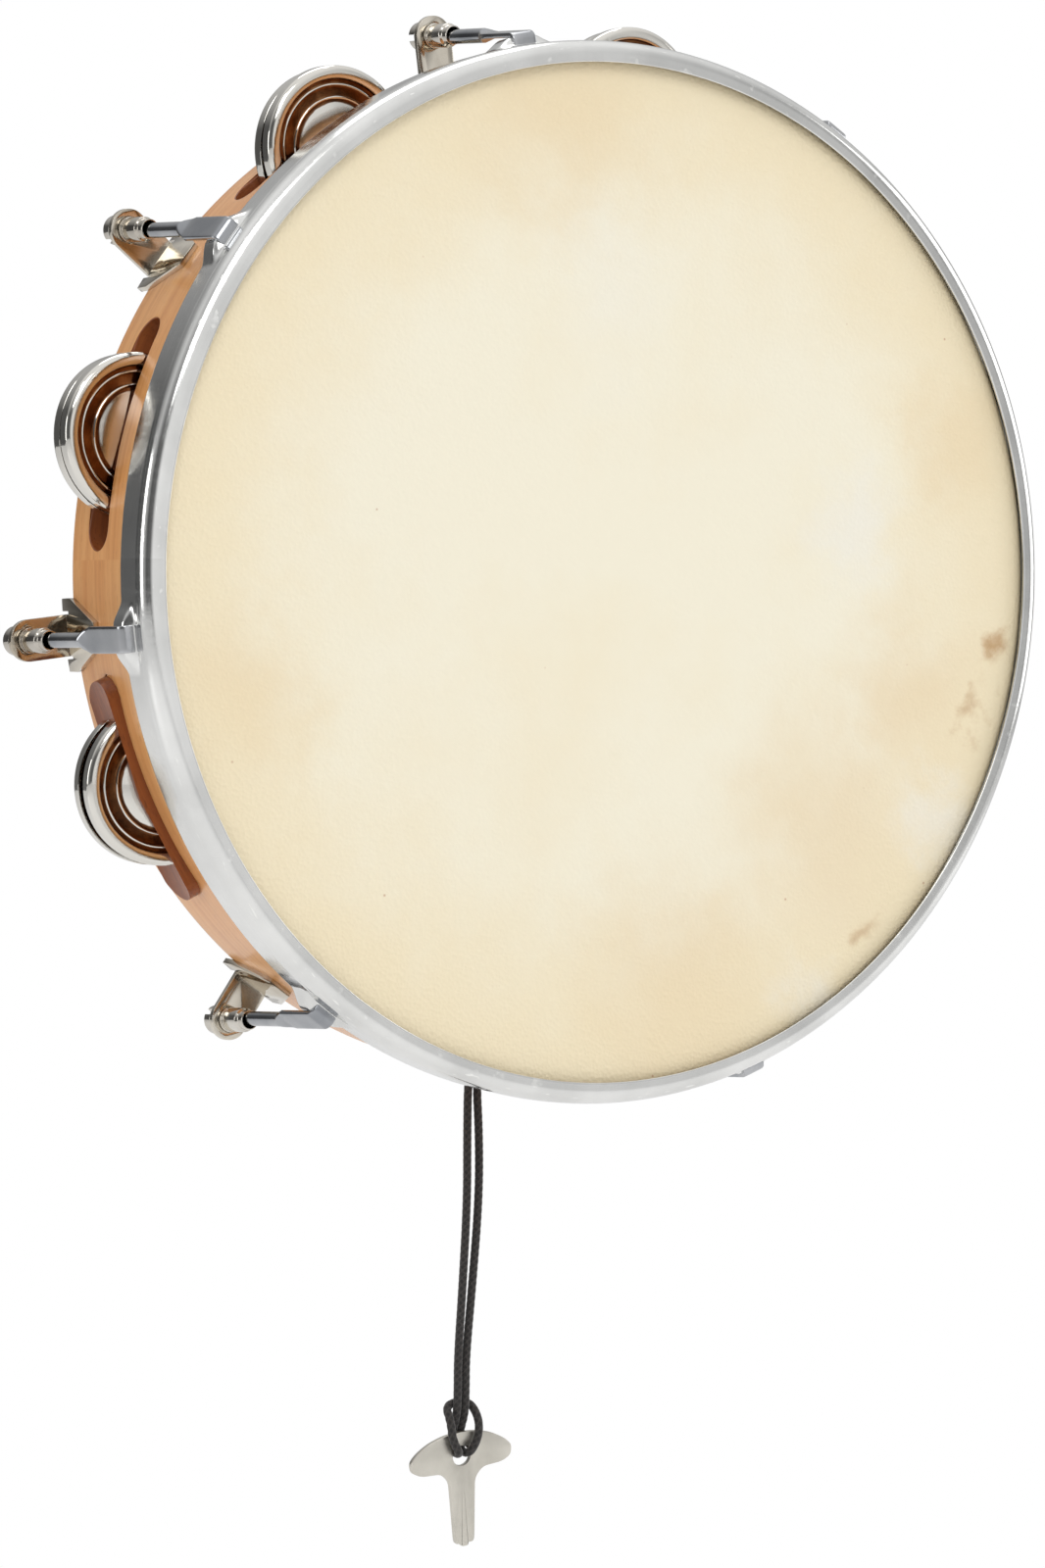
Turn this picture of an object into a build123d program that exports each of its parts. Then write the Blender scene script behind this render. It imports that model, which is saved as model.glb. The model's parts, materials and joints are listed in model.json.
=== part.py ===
from build123d import *
import math
import os

# Tunable ten inch frame drum tambourine, held upright by its grip.
# The drum axis runs along Y: the head faces -Y and the open back faces +Y. Z is up.
# Pieces are drawn in the drum's own frame, which has X along a radius, Y as the depth behind the
# front of the counterhoop and the drum axis on Y, and are then turned to their bearing.
# A bearing is the angle from +X towards +Z, as seen from the front.
# The row's origin is the mouth of the cord hole, in the middle of the hand grip.

# bearings, in degrees
grip_bearing = 262.0
crown_bearing = grip_bearing - 180.0
hook_offsets = [-151.5, -106.0, -63.0, -21.0, 21.0, 63.0, 106.0, 151.5]
jingle_offsets = [-123.5, -84.0, -41.5, 0.0, 41.5, 84.0, 123.5]

# wooden shell
shell_outer_r = 127.0
shell_wall = 10.0
shell_front = 3.0
shell_depth = 46.5
bearing_edge_round = 2.0
back_edge_round = 1.8
inner_edge_round = 1.0
slot_from_back = 15.5
slot_side_room = 0.6
slot_end_room = 9.0
cord_hole_from_back = 9.5

# calf skin head and its flesh hoop
skin_thickness = 0.4
skin_skirt = 6.5
skin_gap = 0.05
flesh_hoop_gap = 0.35
flesh_hoop_thickness = 1.65
flesh_hoop_width = 3.0
flesh_hoop_round = 0.5

# counterhoop
flange_lap = 2.0
hoop_step = 0.7
hoop_gap = 0.25
hoop_sheet = 1.0
hoop_corner_r = 1.8
hoop_step_start = 3.6
hoop_step_end = 4.4
hoop_depth = 12.6
claw_slit_front = 5.9
claw_slit_back = 7.8
claw_slit_length = 13.0
claw_play = 0.1
claw_reach = 0.55
bridge_length = 17.0
bridge_flat = 6.6
bridge_rise = 2.4
bridge_tail = 0.8
bridge_taper = 0.3

# hooks
hook_flare = 6.8
strip_width = 6.3
strip_thickness = 1.4
strip_length = 15.0
shoulder_length = 3.6
strip_gap = 0.05
claw_bend_r = 2.1
claw_inner_bend_r = 0.3
rod_r = 1.8
rod_root = 1.2
rod_end_gap = 0.2

# brackets, whose depths are measured from the back edge of the shell
bracket_sheet = 1.4
ear_from_back = 0.4
ear_half_width = 5.0
ear_hole_play = 0.5
wing_half_width = 8.8
wing_overhang = 2.2
wing_length = 4.8
nose_length = 12.4
nose_half_width = 3.2
relief_width = 0.8
relief_length = 3.3
stud_r = 2.0
stud_from_back = 7.0
stud_play = 0.25
washer_r = 4.6
washer_thickness = 0.8
stud_nut_flats = 7.0
stud_nut_height = 3.2
stud_tail = 0.8
washer_bore_play = 0.2
washer_seat_gap = 0.02
stud_nut_bore_play = 0.05

# slotted tension nuts
nut_head_wall = 1.5
nut_head_length = 5.4
nut_head_round = 0.5
nut_neck_wall = 0.6
nut_collar_wall = 1.05
nut_collar_length = 1.0
nut_barrel_wall = 0.9
nut_barrel_length = 6.2
nut_nose_wall = 0.3
nut_nose_length = 2.4
nut_end_play = 0.1
nut_slot_width = 1.6
nut_slot_depth = 3.4
thread_play = 0.3

# jingles and their pins
jingle_r = 19.5
jingle_sheet = 0.7
jingle_hole_play = 0.4
jingle_rim_gap = 0.9
jingle_rim_depth = 3.0
jingle_ring_height = 4.6
jingle_ring_crown = 0.6
jingle_trough_height = 3.6
jingle_dome_height = 4.6
jingle_dome_r = 10.8
jingle_dome_steepness = 0.4
jingle_dome_mid_r = 0.62
jingle_dome_mid_rise = 0.8
jingle_step_r = 16.2
jingle_step_run = 0.5
# each pair hangs with its outer edges leaning forwards by these angles
jingle_leans = [-3.0, 4.0, -4.0, 3.0, 5.5, 5.0, -4.0]
pin_r = 0.9
pin_fit = 0.02
pin_inset = 5.0
pin_embed = 6.0
pin_sink = 0.4

# cord, its stopper knot and the tuning key
cord_r = 1.1
cord_hole_r = 2.75
strand_half_gap = 1.15
knot_r = 4.3
knot_height = 6.4
knot_face_r = 3.1
knot_shoulder = 1.2
knot_gap = 0.25
knot_bite = 1.2
key_sheet = 1.4
key_width = 30.0
key_wing_height = 7.4
key_wing_sag = 4.2
key_hole_r = 2.6
key_hole_drop = 6.2
key_length = 29.0
key_stem_top = 7.2
key_stem_end = 5.6
key_nub_width = 2.0
key_nub = 0.8
key_shoulder_inset = 0.6
key_shoulder_drop = 0.8
key_side_drop = 3.4
key_tip_inset = 2.4
key_tip_drop = 5.2
key_under_drop = 1.2
key_under_rise = 0.9
key_tilt = 4.0
key_hole_centre = (-0.2, 1.0, -99.6)

# route of the hanging part of the cord in the row frame: down the left strand, behind the key,
# forwards through its hole, up round the back of both strands as a lark's head, and the same
# way back to the right strand
left_strand = [
    (-1.25, 0.0, -0.6),
    (-0.95, 0.2, -17.0),
    (-0.30, 0.5, -34.0),
    (-0.85, 0.9, -56.0),
    (-1.55, 1.2, -74.0),
    (-1.45, 1.0, -83.4),
    (-1.40, 1.3, -89.1),
    (-1.35, 3.6, -94.0),
    (-1.40, 3.4, -99.0),
    (-1.50, -1.4, -99.0),
    (-4.10, -1.5, -94.7),
    (-4.40, -0.8, -90.1),
    (-3.70, 3.5, -86.6),
]
right_strand = [
    (3.30, 3.5, -86.2),
    (4.00, -0.7, -89.8),
    (3.70, -1.5, -94.6),
    (1.10, -1.4, -99.0),
    (1.00, 3.4, -99.0),
    (0.95, 3.6, -94.0),
    (0.95, 1.3, -89.0),
    (0.90, 1.0, -83.2),
    (0.75, 1.1, -74.0),
    (1.95, 0.8, -56.0),
    (3.10, 0.4, -34.0),
    (2.60, 0.2, -17.0),
    (1.05, 0.0, -0.8),
]

# cutting bodies run past the faces they cut by this much
cut_over = 6.0

# values worked out from the ones above
shell_inner_r = shell_outer_r - shell_wall
shell_back = shell_front + shell_depth
jingle_depth = shell_back - slot_from_back
slot_width = 2 * (jingle_dome_height + slot_side_room)
slot_length = 2 * (jingle_r + slot_end_room)
pin_seat_r = shell_outer_r - pin_inset
pin_front = jingle_depth - slot_width / 2 - pin_embed
cord_hole_depth = shell_back - cord_hole_from_back
skin_inner_r = shell_outer_r + skin_gap
skin_outer_r = skin_inner_r + skin_thickness
flesh_hoop_inner_r = skin_outer_r + flesh_hoop_gap
flesh_hoop_outer_r = flesh_hoop_inner_r + flesh_hoop_thickness
flange_inner_r = shell_outer_r - flange_lap
hoop_skirt_r = flesh_hoop_outer_r + hoop_gap + hoop_sheet
hoop_outer_r = hoop_skirt_r - hoop_step
bracket_outer_r = shell_outer_r + bracket_sheet
bridge_outer_r = hoop_skirt_r + bridge_rise
strip_mid_r = bridge_outer_r + strip_gap + strip_thickness / 2
claw_tip_r = hoop_skirt_r - claw_reach
claw_front = claw_slit_back - claw_play - strip_thickness
ear_mid = shell_back - ear_from_back
wing_back = shell_back + wing_overhang
stud_depth = shell_back - stud_from_back
washer_seat_r = math.sqrt(shell_inner_r ** 2 - washer_r ** 2) - washer_seat_gap
nut_bore_r = rod_r + thread_play
nut_head_r = nut_bore_r + nut_head_wall
nut_neck_r = nut_bore_r + nut_neck_wall
nut_collar_r = nut_bore_r + nut_collar_wall
nut_barrel_r = nut_bore_r + nut_barrel_wall
nut_nose_r = nut_bore_r + nut_nose_wall
ear_hole_r = nut_neck_r + ear_hole_play
flare = math.radians(hook_flare)
hook_axis_r = strip_mid_r + (ear_mid - claw_front) * math.tan(flare)
hook_length = (ear_mid - claw_front) / math.cos(flare)
grip = math.radians(grip_bearing)
drum_centre = (-shell_outer_r * math.cos(grip), -cord_hole_depth, -shell_outer_r * math.sin(grip))
hook_bearings = [crown_bearing + offset for offset in hook_offsets]
jingle_bearings = [crown_bearing + offset for offset in jingle_offsets]


def at_bearing(piece, bearing):
    """Turn a piece drawn on the X radius to its bearing round the drum."""
    return Rot(0, -bearing, 0) * piece


def in_row(piece):
    """Move a piece from the drum's frame to the row frame."""
    return Pos(*drum_centre) * piece


def radial_hole(radius, depth):
    """Cylinder along the X radius, long enough to pass through the shell's wall."""
    middle = shell_outer_r - shell_wall / 2
    return Pos(middle, depth, 0) * Rot(0, 90, 0) * Cylinder(radius, shell_wall + 2 * cut_over)


def along_depth(place_r, start, end, radius):
    """Cylinder parallel to the drum axis between two depths."""
    return Pos(place_r, (start + end) / 2, 0) * Rot(90, 0, 0) * Cylinder(radius, end - start)


def nearest(section, radius, depth):
    """Corner of a section nearest to a radius and depth."""
    return section.vertices().sort_by_distance((radius, depth, 0))[0]


def wood_shell():
    with BuildSketch() as section:
        with Locations((shell_outer_r - shell_wall / 2, shell_front + shell_depth / 2)):
            Rectangle(shell_wall, shell_depth)
        fillet(nearest(section, shell_outer_r, shell_front), bearing_edge_round)
        fillet(nearest(section, shell_inner_r, shell_front), inner_edge_round)
        fillet(nearest(section, shell_outer_r, shell_back), back_edge_round)
        fillet(nearest(section, shell_inner_r, shell_back), back_edge_round)
    shell = revolve(section.sketch, Axis.Y, 360)
    slot_plane = Plane(origin=(shell_inner_r - cut_over, jingle_depth, 0), x_dir=(0, 0, 1), z_dir=(1, 0, 0))
    slot = extrude(slot_plane * SlotOverall(slot_length, slot_width), shell_wall + 2 * cut_over)
    pin_bore = along_depth(pin_seat_r, pin_front, shell_back + cut_over, pin_r + pin_fit)
    stud_hole = radial_hole(stud_r + stud_play, stud_depth)
    cuts = [at_bearing(slot, bearing) for bearing in jingle_bearings]
    cuts += [at_bearing(pin_bore, bearing) for bearing in jingle_bearings]
    cuts += [at_bearing(stud_hole, bearing) for bearing in hook_bearings]
    cuts.append(at_bearing(radial_hole(cord_hole_r, cord_hole_depth), grip_bearing))
    return shell - cuts


def drum_head():
    """Skin stretched over the bearing edge, with its skirt down the outside of the shell."""
    front = shell_front - skin_thickness
    end = shell_front + skin_skirt
    outline = [(0, front), (skin_outer_r, front), (skin_outer_r, end), (skin_inner_r, end),
               (skin_inner_r, shell_front), (0, shell_front)]
    with BuildSketch() as section:
        with BuildLine():
            Polyline(*outline, close=True)
        make_face()
        fillet(nearest(section, skin_outer_r, front), bearing_edge_round + skin_thickness)
        fillet(nearest(section, skin_inner_r, shell_front), bearing_edge_round)
    return revolve(section.sketch, Axis.Y, 360)


def flesh_hoop():
    front = hoop_step_end + hoop_sheet
    middle = (flesh_hoop_inner_r + flesh_hoop_outer_r) / 2
    section = Pos(middle, front + flesh_hoop_width / 2) * RectangleRounded(flesh_hoop_thickness, flesh_hoop_width,
                                                                          flesh_hoop_round)
    return revolve(Plane.XY * section, Axis.Y, 360)


def hoop_ring():
    """Flange, rounded corner, upper band, step and skirt of the counterhoop, before its slits."""
    shoulder = hoop_step_end + hoop_sheet
    outline = [(flange_inner_r, 0), (hoop_outer_r, 0), (hoop_outer_r, hoop_step_start),
               (hoop_skirt_r, hoop_step_end), (hoop_skirt_r, hoop_depth),
               (hoop_skirt_r - hoop_sheet, hoop_depth), (hoop_skirt_r - hoop_sheet, shoulder),
               (hoop_outer_r - hoop_sheet, shoulder), (hoop_outer_r - hoop_sheet, hoop_sheet),
               (flange_inner_r, hoop_sheet)]
    with BuildSketch() as section:
        with BuildLine():
            Polyline(*outline, close=True)
        make_face()
        fillet(nearest(section, hoop_outer_r, 0), hoop_corner_r)
    return revolve(section.sketch, Axis.Y, 360)


def bridge():
    """Band of the skirt pushed outwards behind a claw slit, in plan a flat-topped arch."""
    middle = hoop_skirt_r - hoop_sheet / 2
    half = bridge_length / 2
    foot = middle * (1 - math.cos(half / middle))
    flat = bridge_flat / 2
    tail = half + bridge_tail
    tail_foot = middle * (1 - math.cos(tail / middle))
    low = -hoop_sheet / 2
    high = hoop_sheet / 2
    outline = [(middle - tail_foot + high, -tail), (middle - foot + high, -half),
               (middle + bridge_rise + high, -flat), (middle + bridge_rise + high, flat),
               (middle - foot + high, half), (middle - tail_foot + high, tail),
               (middle - tail_foot + low, tail), (middle - foot + low, half),
               (middle + bridge_rise + low, flat - bridge_taper), (middle + bridge_rise + low, -flat + bridge_taper),
               (middle - foot + low, -half), (middle - tail_foot + low, -tail)]
    # drawn with X as radius and local Y as the tangent, then stood along the depth
    plan = Plane(origin=(0, claw_slit_back, 0), x_dir=(1, 0, 0), z_dir=(0, 1, 0))
    face = plan * make_face(Polyline(*[(x, -t) for x, t in outline], close=True))
    return extrude(face, hoop_depth - claw_slit_back)


def counterhoop():
    skirt_x = hoop_skirt_r - hoop_sheet / 2
    slit = Pos(skirt_x, (claw_slit_front + claw_slit_back) / 2, 0)
    slit = slit * Box(4 * hoop_sheet, claw_slit_back - claw_slit_front, claw_slit_length)
    window_depth = hoop_depth - claw_slit_back
    window = Pos(skirt_x, claw_slit_back + (window_depth + cut_over) / 2, 0)
    window = window * Box(4 * hoop_sheet, window_depth + cut_over, bridge_length)
    cuts = [at_bearing(slit, b) for b in hook_bearings] + [at_bearing(window, b) for b in hook_bearings]
    return (hoop_ring() - cuts) + [at_bearing(bridge(), b) for b in hook_bearings]


def hook_frame():
    """Frame on the hook's axis at the ear's middle, with its z axis pointing to the back."""
    return Plane(origin=(hook_axis_r, ear_mid, 0), x_dir=(math.cos(flare), -math.sin(flare), 0),
                 z_dir=(math.sin(flare), math.cos(flare), 0))


def hook():
    """Flat strip with its front end bent in as a claw, running on at the back into a round rod."""
    half = strip_thickness / 2
    strip_back = -hook_length + strip_length
    shoulder_back = strip_back + shoulder_length
    frame = hook_frame()
    outside = strip_mid_r + half / math.cos(flare)
    inside = strip_mid_r + strip_thickness * math.tan(flare) - half / math.cos(flare)
    end_out = frame.from_local_coords(Vector(half, 0, shoulder_back))
    end_in = frame.from_local_coords(Vector(-half, 0, shoulder_back))
    claw_back = claw_front + strip_thickness
    outline = [(claw_tip_r, claw_front), (outside, claw_front), (end_out.X, end_out.Y), (end_in.X, end_in.Y),
               (inside, claw_back), (claw_tip_r, claw_back)]
    with BuildSketch() as side:
        with BuildLine():
            Polyline(*outline, close=True)
        make_face()
        fillet(nearest(side, outside, claw_front), claw_bend_r)
        fillet(nearest(side, inside, claw_back), claw_inner_bend_r)
    strip = extrude(side.sketch, strip_width / 2, both=True)
    cheek_plane = Plane(origin=frame.origin, x_dir=frame.z_dir, z_dir=-frame.x_dir)
    for hand in (-1, 1):
        cheek = Polyline((shoulder_back + 0.1, hand * rod_r), (shoulder_back + 0.1, hand * strip_width),
                         (strip_back, hand * strip_width), (strip_back, hand * strip_width / 2), close=True)
        strip = strip - extrude(cheek_plane * make_face(cheek), 4, both=True)
    rod_start = shoulder_back - rod_root
    rod_end = bracket_sheet / 2 + nut_end_play + nut_head_length - nut_slot_depth - rod_end_gap
    return strip + frame * Pos(0, 0, (rod_start + rod_end) / 2) * Cylinder(rod_r, rod_end - rod_start)


def bracket_plate():
    """Plate curved to the shell, with a blunt nose, two wings and relief notches beside the ear."""
    middle = (shell_outer_r + bracket_outer_r) / 2
    wing_front = wing_back - wing_length
    nose_front = wing_front - nose_length
    section = Pos(middle, (nose_front + wing_back) / 2) * Rectangle(bracket_sheet, wing_back - nose_front)
    spread = 2 * math.degrees(math.asin((wing_half_width + 1) / shell_outer_r))
    plate = Rot(0, -spread / 2, 0) * revolve(Plane.XY * section, Axis.Y, spread)
    outline = [(wing_back, -wing_half_width), (wing_back, wing_half_width), (wing_front, wing_half_width),
               (nose_front, nose_half_width), (nose_front, -nose_half_width), (wing_front, -wing_half_width)]
    plan = Plane(origin=(shell_outer_r - 2, 0, 0), x_dir=(0, 1, 0), z_dir=(1, 0, 0))
    plate = plate & extrude(plan * make_face(Polyline(*outline, close=True)), 6)
    for hand in (-1, 1):
        notch = Pos(shell_outer_r, wing_back, hand * (ear_half_width + relief_width / 2))
        plate = plate - notch * Box(8, 2 * relief_length, relief_width)
    return plate


def bracket():
    """Curved plate, ear folded outwards square to the hook, and welded stud."""
    frame = hook_frame()
    foot = (hook_axis_r - shell_outer_r - bracket_sheet / 2) / math.cos(flare)
    ear = frame * (Pos(-foot / 2, 0, 0) * Box(foot, 2 * ear_half_width, bracket_sheet)
                   + Cylinder(ear_half_width, bracket_sheet))
    behind = frame * Pos(-foot, 0, bracket_sheet / 2 + 2) * Box(6, 2 * ear_half_width, 4)
    stud_inner = washer_seat_r - washer_thickness - stud_nut_height - stud_tail
    stud_length = shell_outer_r + bracket_sheet / 2 - stud_inner
    stud = Pos(stud_inner + stud_length / 2, stud_depth, 0) * Rot(0, 90, 0) * Cylinder(stud_r, stud_length)
    return (bracket_plate() - behind) + (ear - frame * Cylinder(ear_hole_r, 8)) + stud


def stud_washer():
    ring = Cylinder(washer_r, washer_thickness) - Cylinder(stud_r + washer_bore_play, washer_thickness + cut_over)
    return Pos(washer_seat_r - washer_thickness / 2, stud_depth, 0) * Rot(0, 90, 0) * ring


def stud_nut():
    blank = extrude(RegularPolygon(stud_nut_flats / 2, 6, major_radius=False), stud_nut_height)
    blank = blank - Pos(0, 0, stud_nut_height / 2) * Cylinder(stud_r + stud_nut_bore_play, stud_nut_height + cut_over)
    return Pos(washer_seat_r - washer_thickness - stud_nut_height, stud_depth, 0) * Rot(0, 90, 0) * blank


def tension_nut():
    ear_half = bracket_sheet / 2
    head_front = ear_half + nut_end_play
    head_back = head_front + nut_head_length
    collar_back = -ear_half - nut_end_play
    collar_front = collar_back - nut_collar_length
    barrel_front = collar_front - nut_barrel_length
    nose_front_z = barrel_front - nut_nose_length
    outline = [(0, nose_front_z), (nut_nose_r, nose_front_z), (nut_barrel_r, barrel_front),
               (nut_barrel_r, collar_front), (nut_collar_r, collar_front), (nut_collar_r, collar_back),
               (nut_neck_r, collar_back), (nut_neck_r, head_front), (nut_head_r, head_front),
               (nut_head_r, head_back - nut_head_round), (nut_head_r - nut_head_round, head_back),
               (0, head_back)]
    body = revolve(Plane.XZ * make_face(Polyline(*outline, close=True)), Axis.Z, 360)
    bore = Pos(0, 0, (head_back + nose_front_z) / 2) * Cylinder(nut_bore_r, head_back - nose_front_z + cut_over)
    slot = Pos(0, 0, head_back) * Box(nut_slot_width, 4 * nut_head_r, 2 * nut_slot_depth)
    return hook_frame() * (body - bore - slot)


def jingle(side, lean):
    """Pressed disc on the X radius, cupped towards the other of its pair. side is -1 in front and 1 behind."""
    hole = pin_r + jingle_hole_play
    t = jingle_sheet
    rim_high = jingle_rim_gap + jingle_rim_depth

    def face_line(drop, edge):
        dome_foot = jingle_dome_r - drop * jingle_dome_steepness
        dome_rise = jingle_dome_height - jingle_trough_height
        dome_mid = (dome_foot * jingle_dome_mid_r, jingle_trough_height + dome_rise * jingle_dome_mid_rise - drop)
        trough = jingle_trough_height - drop
        step_top = (jingle_step_r + jingle_step_run, jingle_ring_height - jingle_ring_crown - drop)
        ring_top = ((step_top[0] + edge) / 2, jingle_ring_height - drop)
        return [ThreePointArc((hole, jingle_dome_height - drop), dome_mid, (dome_foot, trough)),
                Polyline((dome_foot, trough), (jingle_step_r, trough), step_top),
                ThreePointArc(step_top, ring_top, (edge, rim_high - drop))]

    with BuildSketch() as section:
        with BuildLine():
            add(face_line(0, jingle_r))
            Polyline((jingle_r, rim_high), (jingle_r, jingle_rim_gap), (jingle_r - t, jingle_rim_gap),
                     (jingle_r - t, rim_high - t))
            add(face_line(t, jingle_r - t))
            Line((hole, jingle_dome_height - t), (hole, jingle_dome_height))
        make_face()
    disc = revolve(section.sketch, Axis.Y, 360)
    if side < 0:
        disc = mirror(disc, about=Plane.XZ)
    hole_middle = side * (jingle_dome_height - t / 2)
    return Pos(pin_seat_r, jingle_depth + hole_middle, 0) * Rot(0, 0, -lean) * Pos(0, -hole_middle, 0) * disc


def jingle_pin():
    return along_depth(pin_seat_r, pin_front, shell_back - pin_sink, pin_r)


def corner_radii(points):
    """Largest tangent arc at each corner: 0.45 of the shorter run over the tangent of half the turn."""
    radii = []
    for a, b, c in zip(points, points[1:], points[2:]):
        run_in = Vector(*b) - Vector(*a)
        run_out = Vector(*c) - Vector(*b)
        half_turn = math.radians(run_in.get_angle(run_out)) / 2
        radii.append(0.45 * min(run_in.length, run_out.length) / math.tan(half_turn))
    return radii


def strand_end(hand):
    """Inner end of a strand, in the knot, on one side of the cord hole's axis."""
    reach = shell_wall + knot_bite
    return (-math.cos(grip) * reach + hand * strand_half_gap, 0, -math.sin(grip) * reach)


def key_cord():
    points = [strand_end(-1)] + left_strand + right_strand + [strand_end(1)]
    radii = corner_radii(points)
    route = FilletPolyline(*points, radius=radii)
    tube = sweep(Plane(origin=route @ 0, z_dir=route % 0) * Circle(cord_r), path=route)
    print("cord corner radii", [round(r, 1) for r in radii])
    print("cord length", round(route.length, 1), "volume ratio",
          round(tube.volume / (math.pi * cord_r ** 2 * route.length), 4))
    return tube


def cord_knot():
    """Stopper knot inside the shell, a round lump about the cord hole's axis, with sloping shoulders."""
    near = shell_inner_r - knot_gap
    far = near - knot_height
    outline = [(near, 0), (near, knot_face_r), (near - knot_shoulder, knot_r), (far + knot_shoulder, knot_r),
               (far, knot_face_r), (far, 0)]
    return Pos(0, cord_hole_depth, 0) * revolve(make_face(Polyline(*outline, close=True)), Axis.X, 360)


def tuning_key():
    """Flat T-shaped key with drooping wings, a hole to hang it by and a blade for the nut slots."""
    half = key_width / 2
    top = key_hole_drop
    wing_top = top - key_wing_sag
    low = top - key_wing_height - key_under_drop
    end = top - key_length
    stem_top = key_stem_top / 2
    stem_end = key_stem_end / 2
    nub = key_nub_width / 2
    shoulder = (half - key_shoulder_inset, wing_top - key_shoulder_drop)
    tip = (half - key_tip_inset, wing_top - key_tip_drop)
    root = (stem_top, low - key_under_drop)
    with BuildSketch() as plate:
        with BuildLine():
            ThreePointArc((-shoulder[0], shoulder[1]), (0, top), shoulder)
            ThreePointArc(shoulder, (half, wing_top - key_side_drop), tip)
            ThreePointArc(tip, (half / 2, low + key_under_rise), root)
            Polyline(root, (stem_end, end), (nub, end), (nub, end - key_nub), (-nub, end - key_nub), (-nub, end),
                     (-stem_end, end), (-root[0], root[1]))
            ThreePointArc((-root[0], root[1]), (-half / 2, low + key_under_rise), (-tip[0], tip[1]))
            ThreePointArc((-tip[0], tip[1]), (-half, wing_top - key_side_drop), (-shoulder[0], shoulder[1]))
        make_face()
        Circle(key_hole_r, mode=Mode.SUBTRACT)
    face = Plane(origin=(0, key_sheet / 2, 0), x_dir=(1, 0, 0), z_dir=(0, -1, 0)) * plate.sketch
    blank = extrude(face, key_sheet)
    return Pos(*key_hole_centre) * Rot(0, -key_tilt, 0) * blank


def save(name, shapes):
    """Write one node, as a group when it holds several solids."""
    node = shapes[0] if len(shapes) == 1 else Compound(children=shapes)
    export_step(node, "parts/" + name + ".step")


def build():
    os.makedirs("parts", exist_ok=True)
    save("wood_shell", [in_row(wood_shell())])
    save("drum_head", [in_row(drum_head())])
    save("flesh_hoop", [in_row(flesh_hoop())])
    save("counterhoop", [in_row(counterhoop())])
    one_of_each = {"bracket": bracket(), "hook": hook(), "tension_nut": tension_nut()}
    for name, piece in one_of_each.items():
        for k, bearing in enumerate(hook_bearings, 1):
            save(name + "_" + str(k), [in_row(at_bearing(piece, bearing))])
    for name, piece in {"stud_washers": stud_washer(), "stud_nuts": stud_nut()}.items():
        save(name, [in_row(at_bearing(piece, bearing)) for bearing in hook_bearings])
    save("jingle_pins", [in_row(at_bearing(jingle_pin(), bearing)) for bearing in jingle_bearings])
    for word, side in {"front": -1, "rear": 1}.items():
        for k, (bearing, lean) in enumerate(zip(jingle_bearings, jingle_leans), 1):
            save("jingle_" + str(k) + "_" + word, [in_row(at_bearing(jingle(side, lean), bearing))])
    save("cord_knot", [in_row(at_bearing(cord_knot(), grip_bearing))])
    save("key_cord", [key_cord()])
    save("tuning_key", [tuning_key()])


build()
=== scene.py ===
import json
import math
from functools import partial
import bmesh
import bpy
import numpy as np
from mathutils import Matrix, Vector

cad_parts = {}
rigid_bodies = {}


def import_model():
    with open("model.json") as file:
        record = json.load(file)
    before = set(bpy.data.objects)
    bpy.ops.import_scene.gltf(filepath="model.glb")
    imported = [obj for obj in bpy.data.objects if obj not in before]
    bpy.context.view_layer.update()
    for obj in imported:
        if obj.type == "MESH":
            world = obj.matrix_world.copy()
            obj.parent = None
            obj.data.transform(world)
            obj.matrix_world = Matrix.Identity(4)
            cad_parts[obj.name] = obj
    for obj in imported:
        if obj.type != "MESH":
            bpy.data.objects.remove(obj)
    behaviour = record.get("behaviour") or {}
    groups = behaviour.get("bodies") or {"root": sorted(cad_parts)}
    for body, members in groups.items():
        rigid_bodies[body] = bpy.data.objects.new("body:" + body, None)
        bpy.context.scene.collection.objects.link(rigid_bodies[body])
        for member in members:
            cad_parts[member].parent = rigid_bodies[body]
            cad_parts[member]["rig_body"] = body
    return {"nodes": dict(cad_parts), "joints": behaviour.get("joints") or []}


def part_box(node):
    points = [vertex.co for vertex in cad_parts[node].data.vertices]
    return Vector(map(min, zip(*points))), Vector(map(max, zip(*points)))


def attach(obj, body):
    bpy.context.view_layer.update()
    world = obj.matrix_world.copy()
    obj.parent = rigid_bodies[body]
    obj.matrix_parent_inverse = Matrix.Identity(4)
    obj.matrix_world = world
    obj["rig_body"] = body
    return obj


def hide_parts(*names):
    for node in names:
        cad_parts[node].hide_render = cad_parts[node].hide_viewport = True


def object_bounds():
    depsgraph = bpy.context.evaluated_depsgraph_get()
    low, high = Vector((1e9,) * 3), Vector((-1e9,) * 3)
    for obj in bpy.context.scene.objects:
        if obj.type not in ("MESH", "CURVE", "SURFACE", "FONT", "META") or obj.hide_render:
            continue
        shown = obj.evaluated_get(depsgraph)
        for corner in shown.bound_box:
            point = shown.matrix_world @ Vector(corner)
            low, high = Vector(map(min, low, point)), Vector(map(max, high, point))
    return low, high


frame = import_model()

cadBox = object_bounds()
mm = 0.001
fullTurn = 2 * math.pi
mergeGap = 2e-6  # points closer than this are one point
rng = np.random.default_rng(11)

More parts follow.
